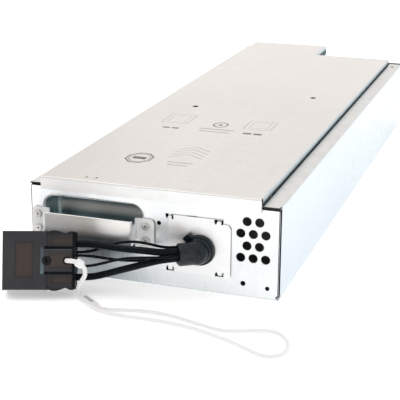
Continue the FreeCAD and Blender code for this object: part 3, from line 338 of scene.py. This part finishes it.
def paint_tray(k, col, r):
    x, y, z = k.mm()
    nx, ny, nz = k.xyz("Normal")
    # painted light by face direction: the top flanges' upward faces get the cover's warmer tone as painted shade, the
    # right side wall a colder tone as painted reflection
    flange = k.math("MULTIPLY", k.ramp(z, 75.4, 75.9), k.ramp(nz, 0.5, 0.8))
    warm = k.noise(k.scaled((1, 1, 1)), 60.0, 4.0, 0.7)
    col = k.mix(flange, col, k.mix(k.remap(warm, 0.35, 0.65, 0.0, 1.0), (0.76, 0.745, 0.735), (0.68, 0.67, 0.66)))
    side = k.ramp(k.math("ABSOLUTE", nx), 0.7, 0.9)
    col = k.mix(k.math("MULTIPLY", side, k.ramp(x, 104.0, 104.6)), col, (0.675, 0.74, 0.785))
    # hand pocket: painted shade deepening over the drawn walls and floor, one soft brown painted highlight band across
    # the back, and a paler painted reflection at the left end
    pocket = k.area((x, -92.4, -8.1, 0.4), (z, 26.5, 65.8, 0.4), (y, 1.6, 40.0, 0.5))
    pocket_shade = k.mix(k.ramp(y, 1.5, 9.0), (0.66, 0.71, 0.71), (0.19, 0.265, 0.285))
    pocket_highlight_band = k.math("MULTIPLY", k.ramp(z, 46.0, 51.0), k.ramp(z, 57.5, 54.0))
    pocket_highlight_band = k.math("MULTIPLY", pocket_highlight_band, k.area((x, -90.0, -13.0, 3.0)))
    soft = k.noise(k.scaled((0.6, 1, 3)), 45.0, 3.0, 0.6)
    pocket_shade = k.mix(k.math("MULTIPLY", pocket_highlight_band, k.remap(soft, 0.25, 0.75, 0.75, 1.0)), pocket_shade, (1.0, 0.98, 0.93))
    pocket_shade = k.mix(k.math("MULTIPLY", k.ramp(x, -87.0, -91.0), 0.6), pocket_shade, (0.45, 0.62, 0.66))
    col = k.mix(pocket, col, pocket_shade)
    r = k.math("ADD", r, k.math("MULTIPLY", pocket, 0.05))
    k.put(k.b.inputs["Metallic"], k.math("SUBTRACT", 0.92, k.math("MULTIPLY", k.math("MULTIPLY", pocket_highlight_band, pocket), 0.6)))
    # painted shade along the pocket's top and right lip
    lip_shade = k.area((x, -94.4, -6.1, 0.3), (z, 24.6, 67.8, 0.3), (y, 0.35, 1.9, 0.15))
    lip_shade = k.math("MULTIPLY", lip_shade, k.math("MAXIMUM", k.ramp(z, 55.0, 62.0), k.ramp(x, -16.0, -11.0)))
    col = k.mix(k.math("MULTIPLY", lip_shade, 0.75), col, (0.17, 0.215, 0.225))
    # painted shade in the slits at the corners and on the front and inner edges of the flanges, and a painted contact
    # shadow along the bottom bend
    slit = k.math("MULTIPLY", k.ramp(k.math("ABSOLUTE", x), 103.55, 103.75), k.ramp(y, 3.6, 3.3))
    slit = k.math("MULTIPLY", slit, k.ramp(k.math("ABSOLUTE", nx), 0.85, 0.7))
    flange_edge_shade = k.math("MULTIPLY", k.ramp(ny, -0.6, -0.8), k.ramp(z, 74.7, 74.9))
    flange_edge_shade = k.math("MULTIPLY", flange_edge_shade, k.ramp(y, 8.0, 7.0))
    inner = k.math("MULTIPLY", k.ramp(k.math("ABSOLUTE", nx), 0.6, 0.8), k.ramp(z, 74.7, 74.9))
    inner = k.math("MULTIPLY", inner, k.ramp(k.math("ABSOLUTE", x), 100.0, 98.0))
    gap_shade = k.top(slit, flange_edge_shade, inner)
    col = k.mix(k.math("MULTIPLY", gap_shade, 0.95), col, (0.018, 0.024, 0.028))
    r = k.math("MAXIMUM", r, k.math("MULTIPLY", gap_shade, 0.8))
    # painted reflection of the leads and the connector: darker over the lower left of the front face and in a patch
    # between the leads
    lead_reflection = k.math("MULTIPLY", k.ramp(z, 24.0, 5.0), k.ramp(x, 10.0, -34.0))
    lead_reflection = k.top(lead_reflection, k.math("MULTIPLY", k.area((x, -64.0, -14.0, 7.0), (z, 15.0, 28.0, 4.0)), 0.85))
    lead_reflection = k.math("MULTIPLY", lead_reflection, k.math("MULTIPLY", k.ramp(ny, -0.6, -0.85), k.ramp(y, 1.0, 0.4)))
    col = k.mix(k.math("MULTIPLY", lead_reflection, 0.85), col, (0.34, 0.40, 0.43))
    # painted shade on the wall of the small round hole in the right flange near the rear
    hx = k.math("SUBTRACT", x, 96.6)
    hy = k.math("SUBTRACT", y, 560.8)
    hd = k.math("SQRT", k.math("ADD", k.math("MULTIPLY", hx, hx), k.math("MULTIPLY", hy, hy)))
    col = k.mix(k.math("MULTIPLY", k.ramp(hd, 2.42, 2.28), k.ramp(z, 74.0, 74.6)), col, (0.03, 0.03, 0.032))
    # painted contact shadow along the bottom bend of the front face and, fainter, of the right side wall
    contact_shadow = k.math("MULTIPLY", k.ramp(z, 1.7, 0.4), k.ramp(y, 1.0, -0.2))
    col = k.mix(k.math("MULTIPLY", contact_shadow, 0.85), col, (0.30, 0.33, 0.35))
    edge = k.math("MULTIPLY", k.ramp(z, 1.7, 0.4), k.ramp(x, 103.5, 104.6))
    col = k.mix(k.math("MULTIPLY", edge, 0.35), col, (0.50, 0.56, 0.60))
    return col, r


def paint_cover(k, col, r):
    x, y, z = k.mm()
    nx, ny, nz = k.xyz("Normal")
    # painted light by face direction: the front flange painted pale as a painted reflection; the side flanges dull and
    # painted colder as a painted reflection, with painted shade low down and at their front ends
    front = k.ramp(ny, -0.55, -0.85)
    col = k.mix(front, col, (0.93, 0.945, 0.95))
    shade = k.math("MULTIPLY", k.ramp(k.math("MULTIPLY_ADD", y, 0.25, x), 20.0, -85.0), k.ramp(y, 330.0, 60.0))
    col = k.mix(k.math("MULTIPLY", shade, 0.40), col, (0.60, 0.565, 0.54))
    col = k.mix(k.math("MULTIPLY", k.ramp(y, 250.0, 560.0), 0.45), col, (0.93, 0.90, 0.87))
    side = k.ramp(k.math("ABSOLUTE", nx), 0.6, 0.85)
    wob = k.noise(k.scaled((1, 1, 1)), 30.0, 4.0, 0.7)
    col = k.mix(side, col, k.mix(k.remap(wob, 0.3, 0.7, 0.0, 1.0), (0.58, 0.665, 0.69), (0.72, 0.79, 0.81)))
    # painted shade on the lower part of the side flanges
    low = k.math("MULTIPLY", side, k.ramp(k.math("ADD", z, k.remap(wob, 0.3, 0.7, -0.25, 0.25)), 79.6, 77.6))
    col = k.mix(low, col, (0.085, 0.115, 0.125))
    # painted shade on the front ends of the side flanges
    end = k.math("MULTIPLY", side, k.ramp(y, 2.8, 2.5))
    col = k.mix(end, col, (0.02, 0.025, 0.03))
    face = k.ramp(nz, 0.6, 0.85)
    ink, pale, rust = [], [], []

    def radial(cx, cy, kx=1.0, ky=1.0):
        dx = k.math("MULTIPLY", k.math("SUBTRACT", x, cx), kx)
        dy = k.math("MULTIPLY", k.math("SUBTRACT", y, cy), ky)
        return k.math("SQRT", k.math("ADD", k.math("MULTIPLY", dx, dx), k.math("MULTIPLY", dy, dy))), dx, dy

    # octagon, double outline, with a short bar
    dx = k.math("ABSOLUTE", k.math("SUBTRACT", x, -38.5))
    dy = k.math("MULTIPLY", k.math("ABSOLUTE", k.math("SUBTRACT", y, 73.9)), 11.2 / 14.6)
    octa = k.math("MAXIMUM", k.math("MAXIMUM", dx, dy), k.math("MULTIPLY", k.math("ADD", dx, dy), 0.7071))
    ink += [k.near(octa, 10.7, 0.7, 0.25), k.near(octa, 8.6, 0.35, 0.2)]
    ink += [k.area((dx, -1.0, 6.0, 0.2), (dy, -1.0, 2.6, 0.2))]
    # ring with a dot
    d, _, _ = radial(-6.9, 203.1, 1.0, 7.0 / 9.0)
    ink += [k.near(d, 6.5, 0.75, 0.25), k.ramp(d, 2.2, 1.7)]
    # bars
    for x0, x1, y0, y1 in ((-56.0, -49.2, 173.5, 183.5), (-47.2, -40.4, 173.5, 183.5), (21.4, 29.2, 175.5, 186.5),
                           (31.4, 39.2, 175.5, 186.5)):
        ink.append(k.area((x, x0, x1, 0.25), (y, y0 + 3.0, y1 - 3.0, 0.3)))
    for x0, x1, y0, y1 in ((-22.0, 11.6, 184.4, 187.2), (-20.0, 9.6, 175.6, 178.2)):
        rust.append(k.area((x, x0, x1, 0.2), (y, y0, y1, 0.25)))
    for x0, x1, y0, y1 in ((-12.5, 10.5, 69.6, 71.8), (-10.0, 8.0, 62.2, 64.2)):
        rust.append(k.area((x, x0, x1, 0.2), (y, y0, y1, 0.25)))
    for cx, cy, hx, hy in ((-51.5, 213.5, 12.5, 17.0), (29.5, 213.0, 13.0, 15.5)):
        ax = k.math("ABSOLUTE", k.math("SUBTRACT", x, cx))
        ay = k.math("ABSOLUTE", k.math("SUBTRACT", y, cy))
        box_ = k.math("MAXIMUM", k.math("SUBTRACT", ax, hx), k.math("SUBTRACT", ay, hy))
        pale.append(k.near(box_, 0.0, 0.45, 0.3))
        pale.append(k.near(box_, -4.5, 0.3, 0.25))
    # chevrons
    ax = k.math("ABSOLUTE", k.math("SUBTRACT", x, -1.7))
    for off in (86.0, 94.0, 102.0, 110.0):
        line = k.math("SUBTRACT", k.math("SUBTRACT", y, off), k.math("MULTIPLY", ax, -0.75))
        pale.append(k.math("MULTIPLY", k.near(line, 11.0, 0.7, 0.3), k.ramp(ax, 15.2, 14.9)))
    wear = k.remap(k.noise(k.scaled((1, 1, 1)), 700.0, 3.0, 0.7), 0.35, 0.6, 0.72, 1.0)
    m_ink = k.math("MULTIPLY", k.math("MULTIPLY", k.top(*ink), face), wear)
    m_pale = k.math("MULTIPLY", k.math("MULTIPLY", k.top(*pale), face), k.math("MULTIPLY", wear, 0.55))
    m_rust = k.math("MULTIPLY", k.math("MULTIPLY", k.top(*rust), face), k.math("MULTIPLY", wear, 0.62))
    col = k.mix(m_ink, col, (0.045, 0.040, 0.040))
    col = k.mix(m_pale, col, (0.12, 0.105, 0.10))
    col = k.mix(m_rust, col, (0.22, 0.13, 0.12))
    k.put(k.b.inputs["Metallic"], k.math("SUBTRACT", 0.9, k.math("MULTIPLY", k.top(m_ink, m_pale, m_rust), 0.85)))
    # two small bright rubs near the rear
    spots = []
    for cx, cy in ((-85.5, 454.0), (-68.0, 461.0)):
        d, _, _ = radial(cx, cy, 0.6, 1.0)
        spots.append(k.ramp(d, 3.2, 0.6))
    col = k.mix(k.math("MULTIPLY", k.math("MULTIPLY", k.top(*spots), face), 0.8), col, (0.97, 0.97, 0.97))
    # painted shade on the walls of the two round holes
    hole_wall_shade = []
    for cx, cy in ((-53.4, 266.4), (49.8, 342.5)):
        d, _, _ = radial(cx, cy)
        hole_wall_shade.append(k.ramp(d, 3.10, 2.98))
    col = k.mix(k.top(*hole_wall_shade), col, (0.03, 0.03, 0.032))
    r = k.math("ADD", r, k.math("MULTIPLY", side, 0.10))
    return col, r


def paint_handle(k, col, r):
    """Painted light along the grip: painted reflections leave it duller at the left, painted shade lower down, painted
    highlights at the right end and the upper edge.
    """
    x, y, z = k.mm()
    nx, ny, nz = k.xyz("Normal")
    grip = k.math("MULTIPLY", k.ramp(ny, -0.6, -0.9), k.ramp(y, -11.0, -12.0))
    slow = k.noise(k.scaled((1, 1, 2.0)), 26.0, 3.0, 0.55)
    xs = k.math("ADD", x, k.remap(slow, 0.3, 0.7, -7.0, 7.0))
    # painted reflections along the grip: a brown middle between a paler left end and a bright right end
    tone = k.mix(k.ramp(xs, -76.0, -57.0), (0.88, 0.91, 0.90), (0.66, 0.61, 0.565))
    tone = k.mix(k.ramp(xs, -50.0, -22.0), tone, (0.95, 0.95, 0.95))
    # painted highlight across the upper half and along the top edge
    grip_highlight = k.math("MULTIPLY", k.ramp(z, 44.0, 50.0), k.ramp(z, 55.5, 53.0))
    tone = k.mix(k.math("MULTIPLY", grip_highlight, 0.85), tone, (0.98, 0.96, 0.93))
    tone = k.mix(k.ramp(z, 55.0, 55.7), tone, (1.0, 1.0, 1.0))
    # painted shade over the lower part of the grip
    tone = k.mix(k.math("MULTIPLY", k.ramp(z, 45.0, 39.0), 0.93), tone, (0.055, 0.078, 0.085))
    col = k.mix(k.math("MULTIPLY", grip, 0.9), col, tone)
    r = k.math("ADD", r, k.math("MULTIPLY", grip, 0.06))
    # painted highlight: the feet painted paler than the grip
    feet = k.math("MULTIPLY", k.ramp(ny, -0.6, -0.85), k.ramp(y, -4.0, -2.6))
    col = k.mix(k.math("MULTIPLY", feet, 0.85), col, (0.97, 0.985, 0.99))
    r = k.math("ADD", r, k.math("MULTIPLY", feet, 0.10))
    dull = k.top(k.math("MULTIPLY", grip, k.ramp(xs, -40.0, -60.0)), feet)
    k.put(k.b.inputs["Metallic"], k.math("SUBTRACT", 0.62, k.math("MULTIPLY", dull, 0.46)))
    # painted shade on the outer edge of the right foot
    edge_shade = k.math("MULTIPLY", k.ramp(nx, 0.6, 0.8), k.ramp(y, -2.2, -1.9))
    edge_shade = k.math("MULTIPLY", edge_shade, k.ramp(x, -10.0, -5.0))
    col = k.mix(k.math("MULTIPLY", edge_shade, 0.9), col, (0.05, 0.055, 0.06))
    return col, r


def paint_plate(k, col, r):
    """A painted shadow of duller tone beside the gland, and painted shade on the right cut edge and on a short stretch
    of upward-facing edge along the top.
    """
    x, y, z = k.mm()
    slow = k.noise(k.scaled((1, 1, 1)), 30.0, 3.0, 0.55)
    d = k.math("ABSOLUTE", k.math("SUBTRACT", x, 24.0))
    f = k.math("MULTIPLY", k.ramp(k.math("ADD", d, k.remap(slow, 0.3, 0.7, -3.0, 3.0)), 11.0, 4.0), k.ramp(z, 26.0, 36.0))
    f = k.math("MULTIPLY", f, k.ramp(z, 58.0, 50.0))
    nx, ny, nz = k.xyz("Normal")
    col = k.mix(k.math("MULTIPLY", f, 0.35), col, (0.66, 0.62, 0.60))
    # painted shade on the right cut edge and on a short stretch of upward-facing edge along the top
    edge_shade = k.top(k.math("MULTIPLY", k.ramp(nx, 0.6, 0.8), k.ramp(x, 62.0, 64.0)),
                k.math("MULTIPLY", k.ramp(nz, 0.6, 0.8), k.area((x, 29.5, 38.0, 0.4), (z, 60.5, 63.0, 0.3))))
    return k.mix(k.math("MULTIPLY", edge_shade, 0.95), col, (0.03, 0.034, 0.038)), r


def moulded(name, col, col2, rough, grain=2600.0, depth=0.35, dist=0.00006, slow_scale=40.0, spec=0.5, paint=None):
    """Moulded plastic: spark-eroded texture, slow tone changes and slightly polished high spots."""
    k = M(name)
    fine = k.noise(k.scaled((1, 1, 1)), grain, 3.0, 0.6)
    slow = k.noise(k.scaled((1, 1, 1)), slow_scale, 4.0, 0.55)
    c = k.mix(k.remap(slow, 0.3, 0.7, 0.0, 1.0), col, col2)
    c = k.mix(k.remap(fine, 0.55, 0.8, 0.0, 0.25), c, tuple(min(1.0, v * 1.7 + 0.01) for v in col2))
    if paint is not None:
        c = paint(k, c)
    k.put(k.b.inputs["Base Color"], c)
    k.put(k.b.inputs["Roughness"], k.math("ADD", k.remap(slow, 0.25, 0.75, rough - 0.05, rough + 0.05),
                                         k.remap(fine, 0.3, 0.7, -0.04, 0.05)))
    k.b.inputs["Specular IOR Level"].default_value = spec
    k.put(k.b.inputs["Normal"], k.bump(fine, depth, dist))
    return k


def paint_housing(k, c):
    """Brownish moulding tone in the sunk panels; painted highlights on the ridge's bevel and top line and along the
    bottom edge, painted shade on the rear end and the grips and in the two wells.
    """
    o = (-98.5, -67.0, CT * math.sin(LEAN) + 0.28)
    a, w, n = k.in_frame((ca, cw, cn), o)
    sunk = k.top(k.area((a, 9.8, 23.6, 0.25), (w, 10.0, 37.2, 0.25), (n, -0.95, -0.65, 0.1)),
                 k.area((a, 37.8, 53.8, 0.25), (w, 35.8, 40.8, 0.25), (n, -1.85, -1.55, 0.1)),
                 k.area((a, 37.8, 53.8, 0.25), (w, 5.2, 10.2, 0.25), (n, -1.85, -1.55, 0.1)),
                 k.area((a, 37.0, 54.0, 0.25), (w, 17.8, 28.2, 0.25), (n, 1.3, 1.7, 0.1)))
    mott = k.noise(k.scaled((1, 1, 1)), 330.0, 3.0, 0.6)
    c = k.mix(k.math("MULTIPLY", sunk, k.remap(mott, 0.3, 0.7, 0.65, 1.0)), c, (0.060, 0.044, 0.037))
    # painted highlight on the ridge's slanted bevel, stronger towards its lower end
    ridge_bevel_highlight = k.area((a, 29.4, 32.3, 0.2), (w, 12.8, 33.2, 0.2), (n, -0.7, 1.75, 0.15))
    tip = k.math("MULTIPLY", k.ramp(w, 25.0, 14.0), 0.5)
    c = k.mix(k.math("MULTIPLY", ridge_bevel_highlight, k.math("ADD", tip, 0.35)), c, (0.15, 0.22, 0.26))
    # painted highlight along the ridge's top line
    line = k.area((a, 32.0, 56.5, 0.2), (w, 31.25, 31.7, 0.1), (n, 1.6, 2.3, 0.1))
    c = k.mix(k.math("MULTIPLY", line, 0.3), c, (0.16, 0.20, 0.22))
    shade = k.top(k.area((a, 32.0, 56.5, 0.3), (w, 31.9, 34.2, 0.3), (n, -1.2, 1.5, 0.2)),
                  k.area((a, 32.0, 56.5, 0.3), (w, 12.4, 14.5, 0.25), (n, -1.2, 2.2, 0.2)),
                  k.ramp(a, 53.4, 54.6))
    rim = k.top(k.area((a, 36.0, 56.5, 1.0), (w, 43.8, 49.0, 0.8)), k.area((a, 34.0, 56.5, 1.0), (w, -3.0, 1.4, 0.8)))
    shade = k.top(shade, k.math("MULTIPLY", rim, 0.55))
    k.put(k.b.inputs["Specular IOR Level"], k.math("SUBTRACT", 0.3, k.math("MULTIPLY", shade, 0.27)))
    c = k.mix(k.math("MULTIPLY", shade, 0.8), c, (0.004, 0.005, 0.006))
    # painted shade in the two wells
    for at, rad in ((34.6, 4.0), (50.0, 3.1)):
        da = k.math("SUBTRACT", a, at)
        dw = k.math("SUBTRACT", w, CW / 2)
        dd = k.math("SQRT", k.math("ADD", k.math("MULTIPLY", da, da), k.math("MULTIPLY", dw, dw)))
        well_shade = k.math("MULTIPLY", k.ramp(dd, rad + 0.12, rad - 0.02), k.ramp(n, 1.50, 1.20))
        c = k.mix(k.math("MULTIPLY", well_shade, 0.93), c, (0.003, 0.0035, 0.0045))
    # painted highlight along the bottom edge
    low = k.area((a, 0.5, 33.5, 0.3), (w, -0.4, 0.75, 0.12), (n, -3.0, 0.3, 0.1))
    c = k.mix(k.math("MULTIPLY", low, 0.5), c, (0.22, 0.20, 0.20))
    return c


def paint_sleeve(k, c):
    """The two moulded lines along the top of the sleeve are painted dark."""
    d = (math.cos(math.radians(-38.0)), math.sin(math.radians(-38.0)), 0.0)
    a, w, n = k.in_frame((d, (-d[1], d[0], 0.0), (0.0, 0.0, 1.0)), (-40.2, -47.0, 2.1))
    m_ = k.top(k.area((a, 3.1, 16.3, 0.15), (w, -0.3, 0.35, 0.12), (n, 1.0, 3.0, 0.2)),
               k.area((a, 3.5, 15.7, 0.15), (w, 1.1, 1.75, 0.12), (n, 1.0, 3.0, 0.2)))
    return k.mix(k.math("MULTIPLY", m_, 0.92), c, (0.045, 0.045, 0.05))


def paint_gland(k, c):
    """A brownish painted highlight on the flat of the gland's nose."""
    nx, ny, nz = k.xyz("Normal")
    x, y, z = k.mm()
    f = k.math("MULTIPLY", k.ramp(ny, -0.55, -0.8), k.ramp(y, -16.0, -18.0))
    f = k.math("MULTIPLY", f, k.ramp(k.noise(k.scaled((1, 1, 1)), 260.0, 3.0, 0.6), 0.35, 0.6))
    return k.mix(k.math("MULTIPLY", f, 0.5), c, (0.050, 0.043, 0.043))


def jacket(name, col, col2, rough):
    """Cable jacket: satin, with faint drawn lines along the lead and slow scuffing."""
    k = M(name)
    uv = k.scaled((6.0, 60.0, 1.0), src="UV")
    lines = k.noise(uv, 6.0, 3.0, 0.6)
    slow = k.noise(k.scaled((1, 1, 1)), 90.0, 3.0, 0.6)
    fine = k.noise(k.scaled((1, 1, 1)), 1800.0, 2.0, 0.5)
    k.put(k.b.inputs["Base Color"], k.mix(k.remap(slow, 0.3, 0.75, 0.0, 1.0), col, col2))
    k.put(k.b.inputs["Roughness"], k.math("ADD", k.remap(slow, 0.3, 0.7, rough - 0.06, rough + 0.08),
                                         k.remap(lines, 0.3, 0.7, -0.04, 0.04)))
    nrm = k.bump(lines, 0.25, 0.00008)
    k.b.inputs["Specular IOR Level"].default_value = 0.09
    k.put(k.b.inputs["Normal"], k.bump(fine, 0.2, 0.00004, nrm))
    return k


def braid(name, col, shade, length_m):
    """Braided white cord: two crossing sets of strands round the cord."""
    k = M(name)
    sx = k.n("ShaderNodeSeparateXYZ")
    k.link(k.tc.outputs["UV"], sx.inputs[0])
    along = k.math("MULTIPLY", sx.outputs[0], length_m * 620.0)
    around = k.math("MULTIPLY", sx.outputs[1], 8.0)
    d1 = k.math("SINE", k.math("MULTIPLY", k.math("ADD", along, around), math.pi))
    d2 = k.math("SINE", k.math("MULTIPLY", k.math("SUBTRACT", along, around), math.pi))
    h = k.math("ADD", k.math("MULTIPLY", k.math("ABSOLUTE", d1), 0.5), k.math("MULTIPLY", k.math("ABSOLUTE", d2), 0.5))
    fuzz = k.noise(k.scaled((1, 1, 1)), 3200.0, 2.0, 0.6)
    k.put(k.b.inputs["Base Color"], k.mix(k.remap(h, 0.15, 0.75, 1.0, 0.0), col, shade))
    k.put(k.b.inputs["Roughness"], k.remap(fuzz, 0.3, 0.7, 0.72, 0.88))
    k.b.inputs["Sheen Weight"].default_value = 0.25
    nrm = k.bump(h, 0.6, 0.00035)
    k.put(k.b.inputs["Normal"], k.bump(fuzz, 0.3, 0.00008, nrm))
    return k


tray_m = sheet_metal("tray_galvanised", (0.865, 0.892, 0.905), (0.815, 0.845, 0.865), 0.29, grain=(1, 0.03, 0.03),
                     paint=paint_tray)
cover_m = sheet_metal("cover_galvanised", (0.825, 0.795, 0.77), (0.775, 0.745, 0.725), 0.46, grain=(1, 0.02, 1),
                      spangle=0.3, grain_depth=0.3, paint=paint_cover, speck=0.22)
handle_m = sheet_metal("handle_steel", (0.86, 0.875, 0.88), (0.80, 0.815, 0.825), 0.30, grain=(0.03, 1, 1),
                       paint=paint_handle, spangle=0.1, metallic=0.62)
plate_m = sheet_metal("plate_steel", (0.95, 0.955, 0.96), (0.90, 0.91, 0.92), 0.36, grain=(0.03, 1, 1),
                      paint=paint_plate, spangle=0.1)
rivet_m = sheet_metal("rivet_alloy", (0.66, 0.65, 0.63), (0.54, 0.53, 0.52), 0.30, grain=(1, 1, 1), spangle=0.0)
gland_m = moulded("gland_nylon", (0.004, 0.009, 0.014), (0.008, 0.015, 0.021), 0.27, depth=0.15, spec=0.26, paint=paint_gland)
seal_m = moulded("seal_rubber", (0.016, 0.016, 0.017), (0.024, 0.024, 0.025), 0.62)
lead_m = jacket("lead_jacket", (0.0015, 0.004, 0.0065), (0.004, 0.008, 0.012), 0.28)
red_m = jacket("red_jacket", (0.42, 0.020, 0.018), (0.50, 0.035, 0.028), 0.40)
house_m = moulded("housing_plastic", (0.030, 0.031, 0.037), (0.043, 0.042, 0.047), 0.46, grain=1900.0, depth=0.35, spec=0.3,
                  paint=paint_housing)
contact_m = sheet_metal("contact_plating", (0.86, 0.85, 0.81), (0.78, 0.77, 0.72), 0.26, grain=(0.1, 1, 1), spangle=0.0)
spring_m = sheet_metal("spring_strip", (0.70, 0.71, 0.72), (0.62, 0.63, 0.64), 0.22, grain=(0.1, 1, 1), spangle=0.0)
pin_m = sheet_metal("pin_plating", (0.78, 0.62, 0.32), (0.70, 0.55, 0.27), 0.25, grain=(1, 1, 1), spangle=0.0)
sleeve_m = moulded("sleeve_vinyl", (0.93, 0.93, 0.935), (0.89, 0.89, 0.90), 0.34, depth=0.15, paint=paint_sleeve)
block_m = moulded("block_case", (0.105, 0.105, 0.112), (0.13, 0.13, 0.138), 0.50)
holder_m = moulded("holder_plastic", (0.020, 0.020, 0.021), (0.03, 0.03, 0.032), 0.45)
fuse_m = moulded("fuse_ceramic", (0.84, 0.82, 0.77), (0.80, 0.78, 0.73), 0.22, depth=0.1)
bead_m = moulded("bead_epoxy", (0.015, 0.015, 0.015), (0.022, 0.022, 0.022), 0.20, depth=0.1)
liner_m = moulded("liner_film", (0.010, 0.010, 0.012), (0.016, 0.016, 0.018), 0.40, depth=0.1, spec=0.25)
foam_m = moulded("foam", (0.003, 0.003, 0.0035), (0.007, 0.007, 0.0075), 0.9, grain=1100.0, depth=0.9, dist=0.0002)
spacer_m = moulded("spacer", (0.085, 0.085, 0.085), (0.11, 0.11, 0.11), 0.75, grain=1400.0, depth=0.7)

BY_NODE = {"tray": tray_m, "cover": cover_m, "handle": handle_m, "gland_plate": plate_m, "handle_rivets": rivet_m,
           "cable_gland": gland_m, "gland_nut": gland_m, "gland_washer": seal_m, "connector_seal": seal_m,
           "connector_housing": house_m,
           "contact_pos": contact_m, "contact_neg": contact_m, "contact_springs": spring_m, "aux_pins": pin_m,
           "lanyard_sleeve": sleeve_m, "tap_lead": lead_m, "thermistor_lead": lead_m, "pack_lead_neg": lead_m,
           "pack_lead_pos": red_m, "midlead_a": red_m, "midlead_b": red_m, "fuse_holder": holder_m,
           "string_fuse": fuse_m, "thermistor": bead_m, "liner": liner_m, "foam_pad_right": foam_m,
           "foam_pad_left": foam_m, "rear_spacer_right": foam_m, "rear_spacer_left": foam_m, "centre_spacer": spacer_m}
cord_loop_m = braid("cord_braid_loop", (0.97, 0.97, 0.975), (0.84, 0.845, 0.86), length_of(ROUTES["lanyard_loop"][1]) * MM)
cord_stem_m = braid("cord_braid_stem", (0.97, 0.97, 0.975), (0.84, 0.845, 0.86), length_of(ROUTES["lanyard_stem"][1]) * MM)
knot_m = moulded("cord_knot", (0.95, 0.95, 0.955), (0.90, 0.90, 0.91), 0.80, grain=1500.0, depth=0.9, dist=0.0003)
for i in range(1, 11):
    BY_NODE["battery_%02d" % i] = block_m
for i in range(1, 9):
    BY_NODE["jumper_%02d" % i] = lead_m
BY_NODE["lanyard_knot"] = knot_m
BY_NODE["lanyard_stop"] = knot_m


def dress(ob, k):
    if not ob.material_slots:
        ob.data.materials.append(k.mat)
    for s in ob.material_slots:
        s.material = k.mat


for name, k in BY_NODE.items():
    dress(nodes[name], k)
for key, ob in LEADS.items():
    dress(ob, lead_m if not key.startswith("lanyard") else (cord_loop_m if key.endswith("loop") else cord_stem_m))

# ------------------------------------------------------------------ floor, world, light
fm_ = bpy.data.meshes.new("floor")
bm = bmesh.new()
vs = [bm.verts.new(v) for v in ((-6, -6, -0.0004), (6, -6, -0.0004), (6, 6, -0.0004), (-6, 6, -0.0004))]
bm.faces.new(vs)
bm.to_mesh(fm_)
bm.free()
floor = bpy.data.objects.new("floor", fm_)
scene.collection.objects.link(floor)
fl = M("floor_white")
fl.b.inputs["Base Color"].default_value = (0.92, 0.92, 0.92, 1)
fl.b.inputs["Roughness"].default_value = 0.6
fl.b.inputs["Specular IOR Level"].default_value = 0.2
fl.b.inputs["Emission Color"].default_value = (1, 1, 1, 1)
fl.b.inputs["Emission Strength"].default_value = 0.42
fm_.materials.append(fl.mat)

world = bpy.data.worlds.new("studio")
scene.world = world
world.use_nodes = True
wn = world.node_tree
wn.nodes.clear()
wo = wn.nodes.new("ShaderNodeOutputWorld")
bg = wn.nodes.new("ShaderNodeBackground")
# a bright tent: warm white overhead and behind, cooler at the right, darker towards the front above the floor
wt = wn.nodes.new("ShaderNodeTexCoord")
ws = wn.nodes.new("ShaderNodeSeparateXYZ")
wn.links.new(wt.outputs["Generated"], ws.inputs[0])


def wmap(src, a, b, c, d):
    x = wn.nodes.new("ShaderNodeMapRange")
    x.interpolation_type = "SMOOTHSTEP"
    wn.links.new(src, x.inputs["Value"])
    x.inputs["From Min"].default_value = a
    x.inputs["From Max"].default_value = b
    x.inputs["To Min"].default_value = c
    x.inputs["To Max"].default_value = d
    return x.outputs["Result"]


def wmix(f, a, b):
    x = wn.nodes.new("ShaderNodeMix")
    x.data_type = "RGBA"
    wn.links.new(f, x.inputs[0])
    for sock, val in ((x.inputs[6], a), (x.inputs[7], b)):
        if isinstance(val, bpy.types.NodeSocket):
            wn.links.new(val, sock)
        else:
            sock.default_value = (*val, 1.0)
    return x.outputs[2]


side_c = wmix(wmap(ws.outputs[0], -0.2, 0.5, 0.0, 1.0), (1.0, 0.985, 0.965), (0.95, 0.985, 1.02))
front_c = wmix(wmap(ws.outputs[1], -0.75, -0.05, 1.0, 0.0), side_c, (0.42, 0.40, 0.39))
top_c = wmix(wmap(ws.outputs[2], 0.45, 0.9, 0.0, 1.0), front_c, (1.05, 1.03, 1.0))
wn.links.new(top_c, bg.inputs[0])
bg.inputs[1].default_value = 1.0
wn.links.new(bg.outputs[0], wo.inputs[0])


def area(name, loc, target, size, power, colour=(1, 1, 1)):
    d = bpy.data.lights.new(name, "AREA")
    d.shape = "RECTANGLE"
    d.size, d.size_y = size
    d.energy = power
    d.color = colour
    o = bpy.data.objects.new(name, d)
    scene.collection.objects.link(o)
    o.location = loc
    v = Vector(target) - Vector(loc)
    o.rotation_euler = v.to_track_quat("-Z", "Y").to_euler()
    return o


area("key", (-1.0, -0.5, 1.7), (0, 0, 0.04), (1.2, 1.2), 5.0, (1.0, 0.985, 0.965))
area("fill", (1.5, -0.5, 0.9), (0, 0, 0.04), (1.0, 1.0), 1.5, (0.95, 0.98, 1.0))
scene.view_settings.view_transform = "Standard"
scene.view_settings.look = "None"
scene.view_settings.exposure = 0.0
scene.view_settings.gamma = 1.0

# ------------------------------------------------------------------ the end
bpy.context.view_layer.update()
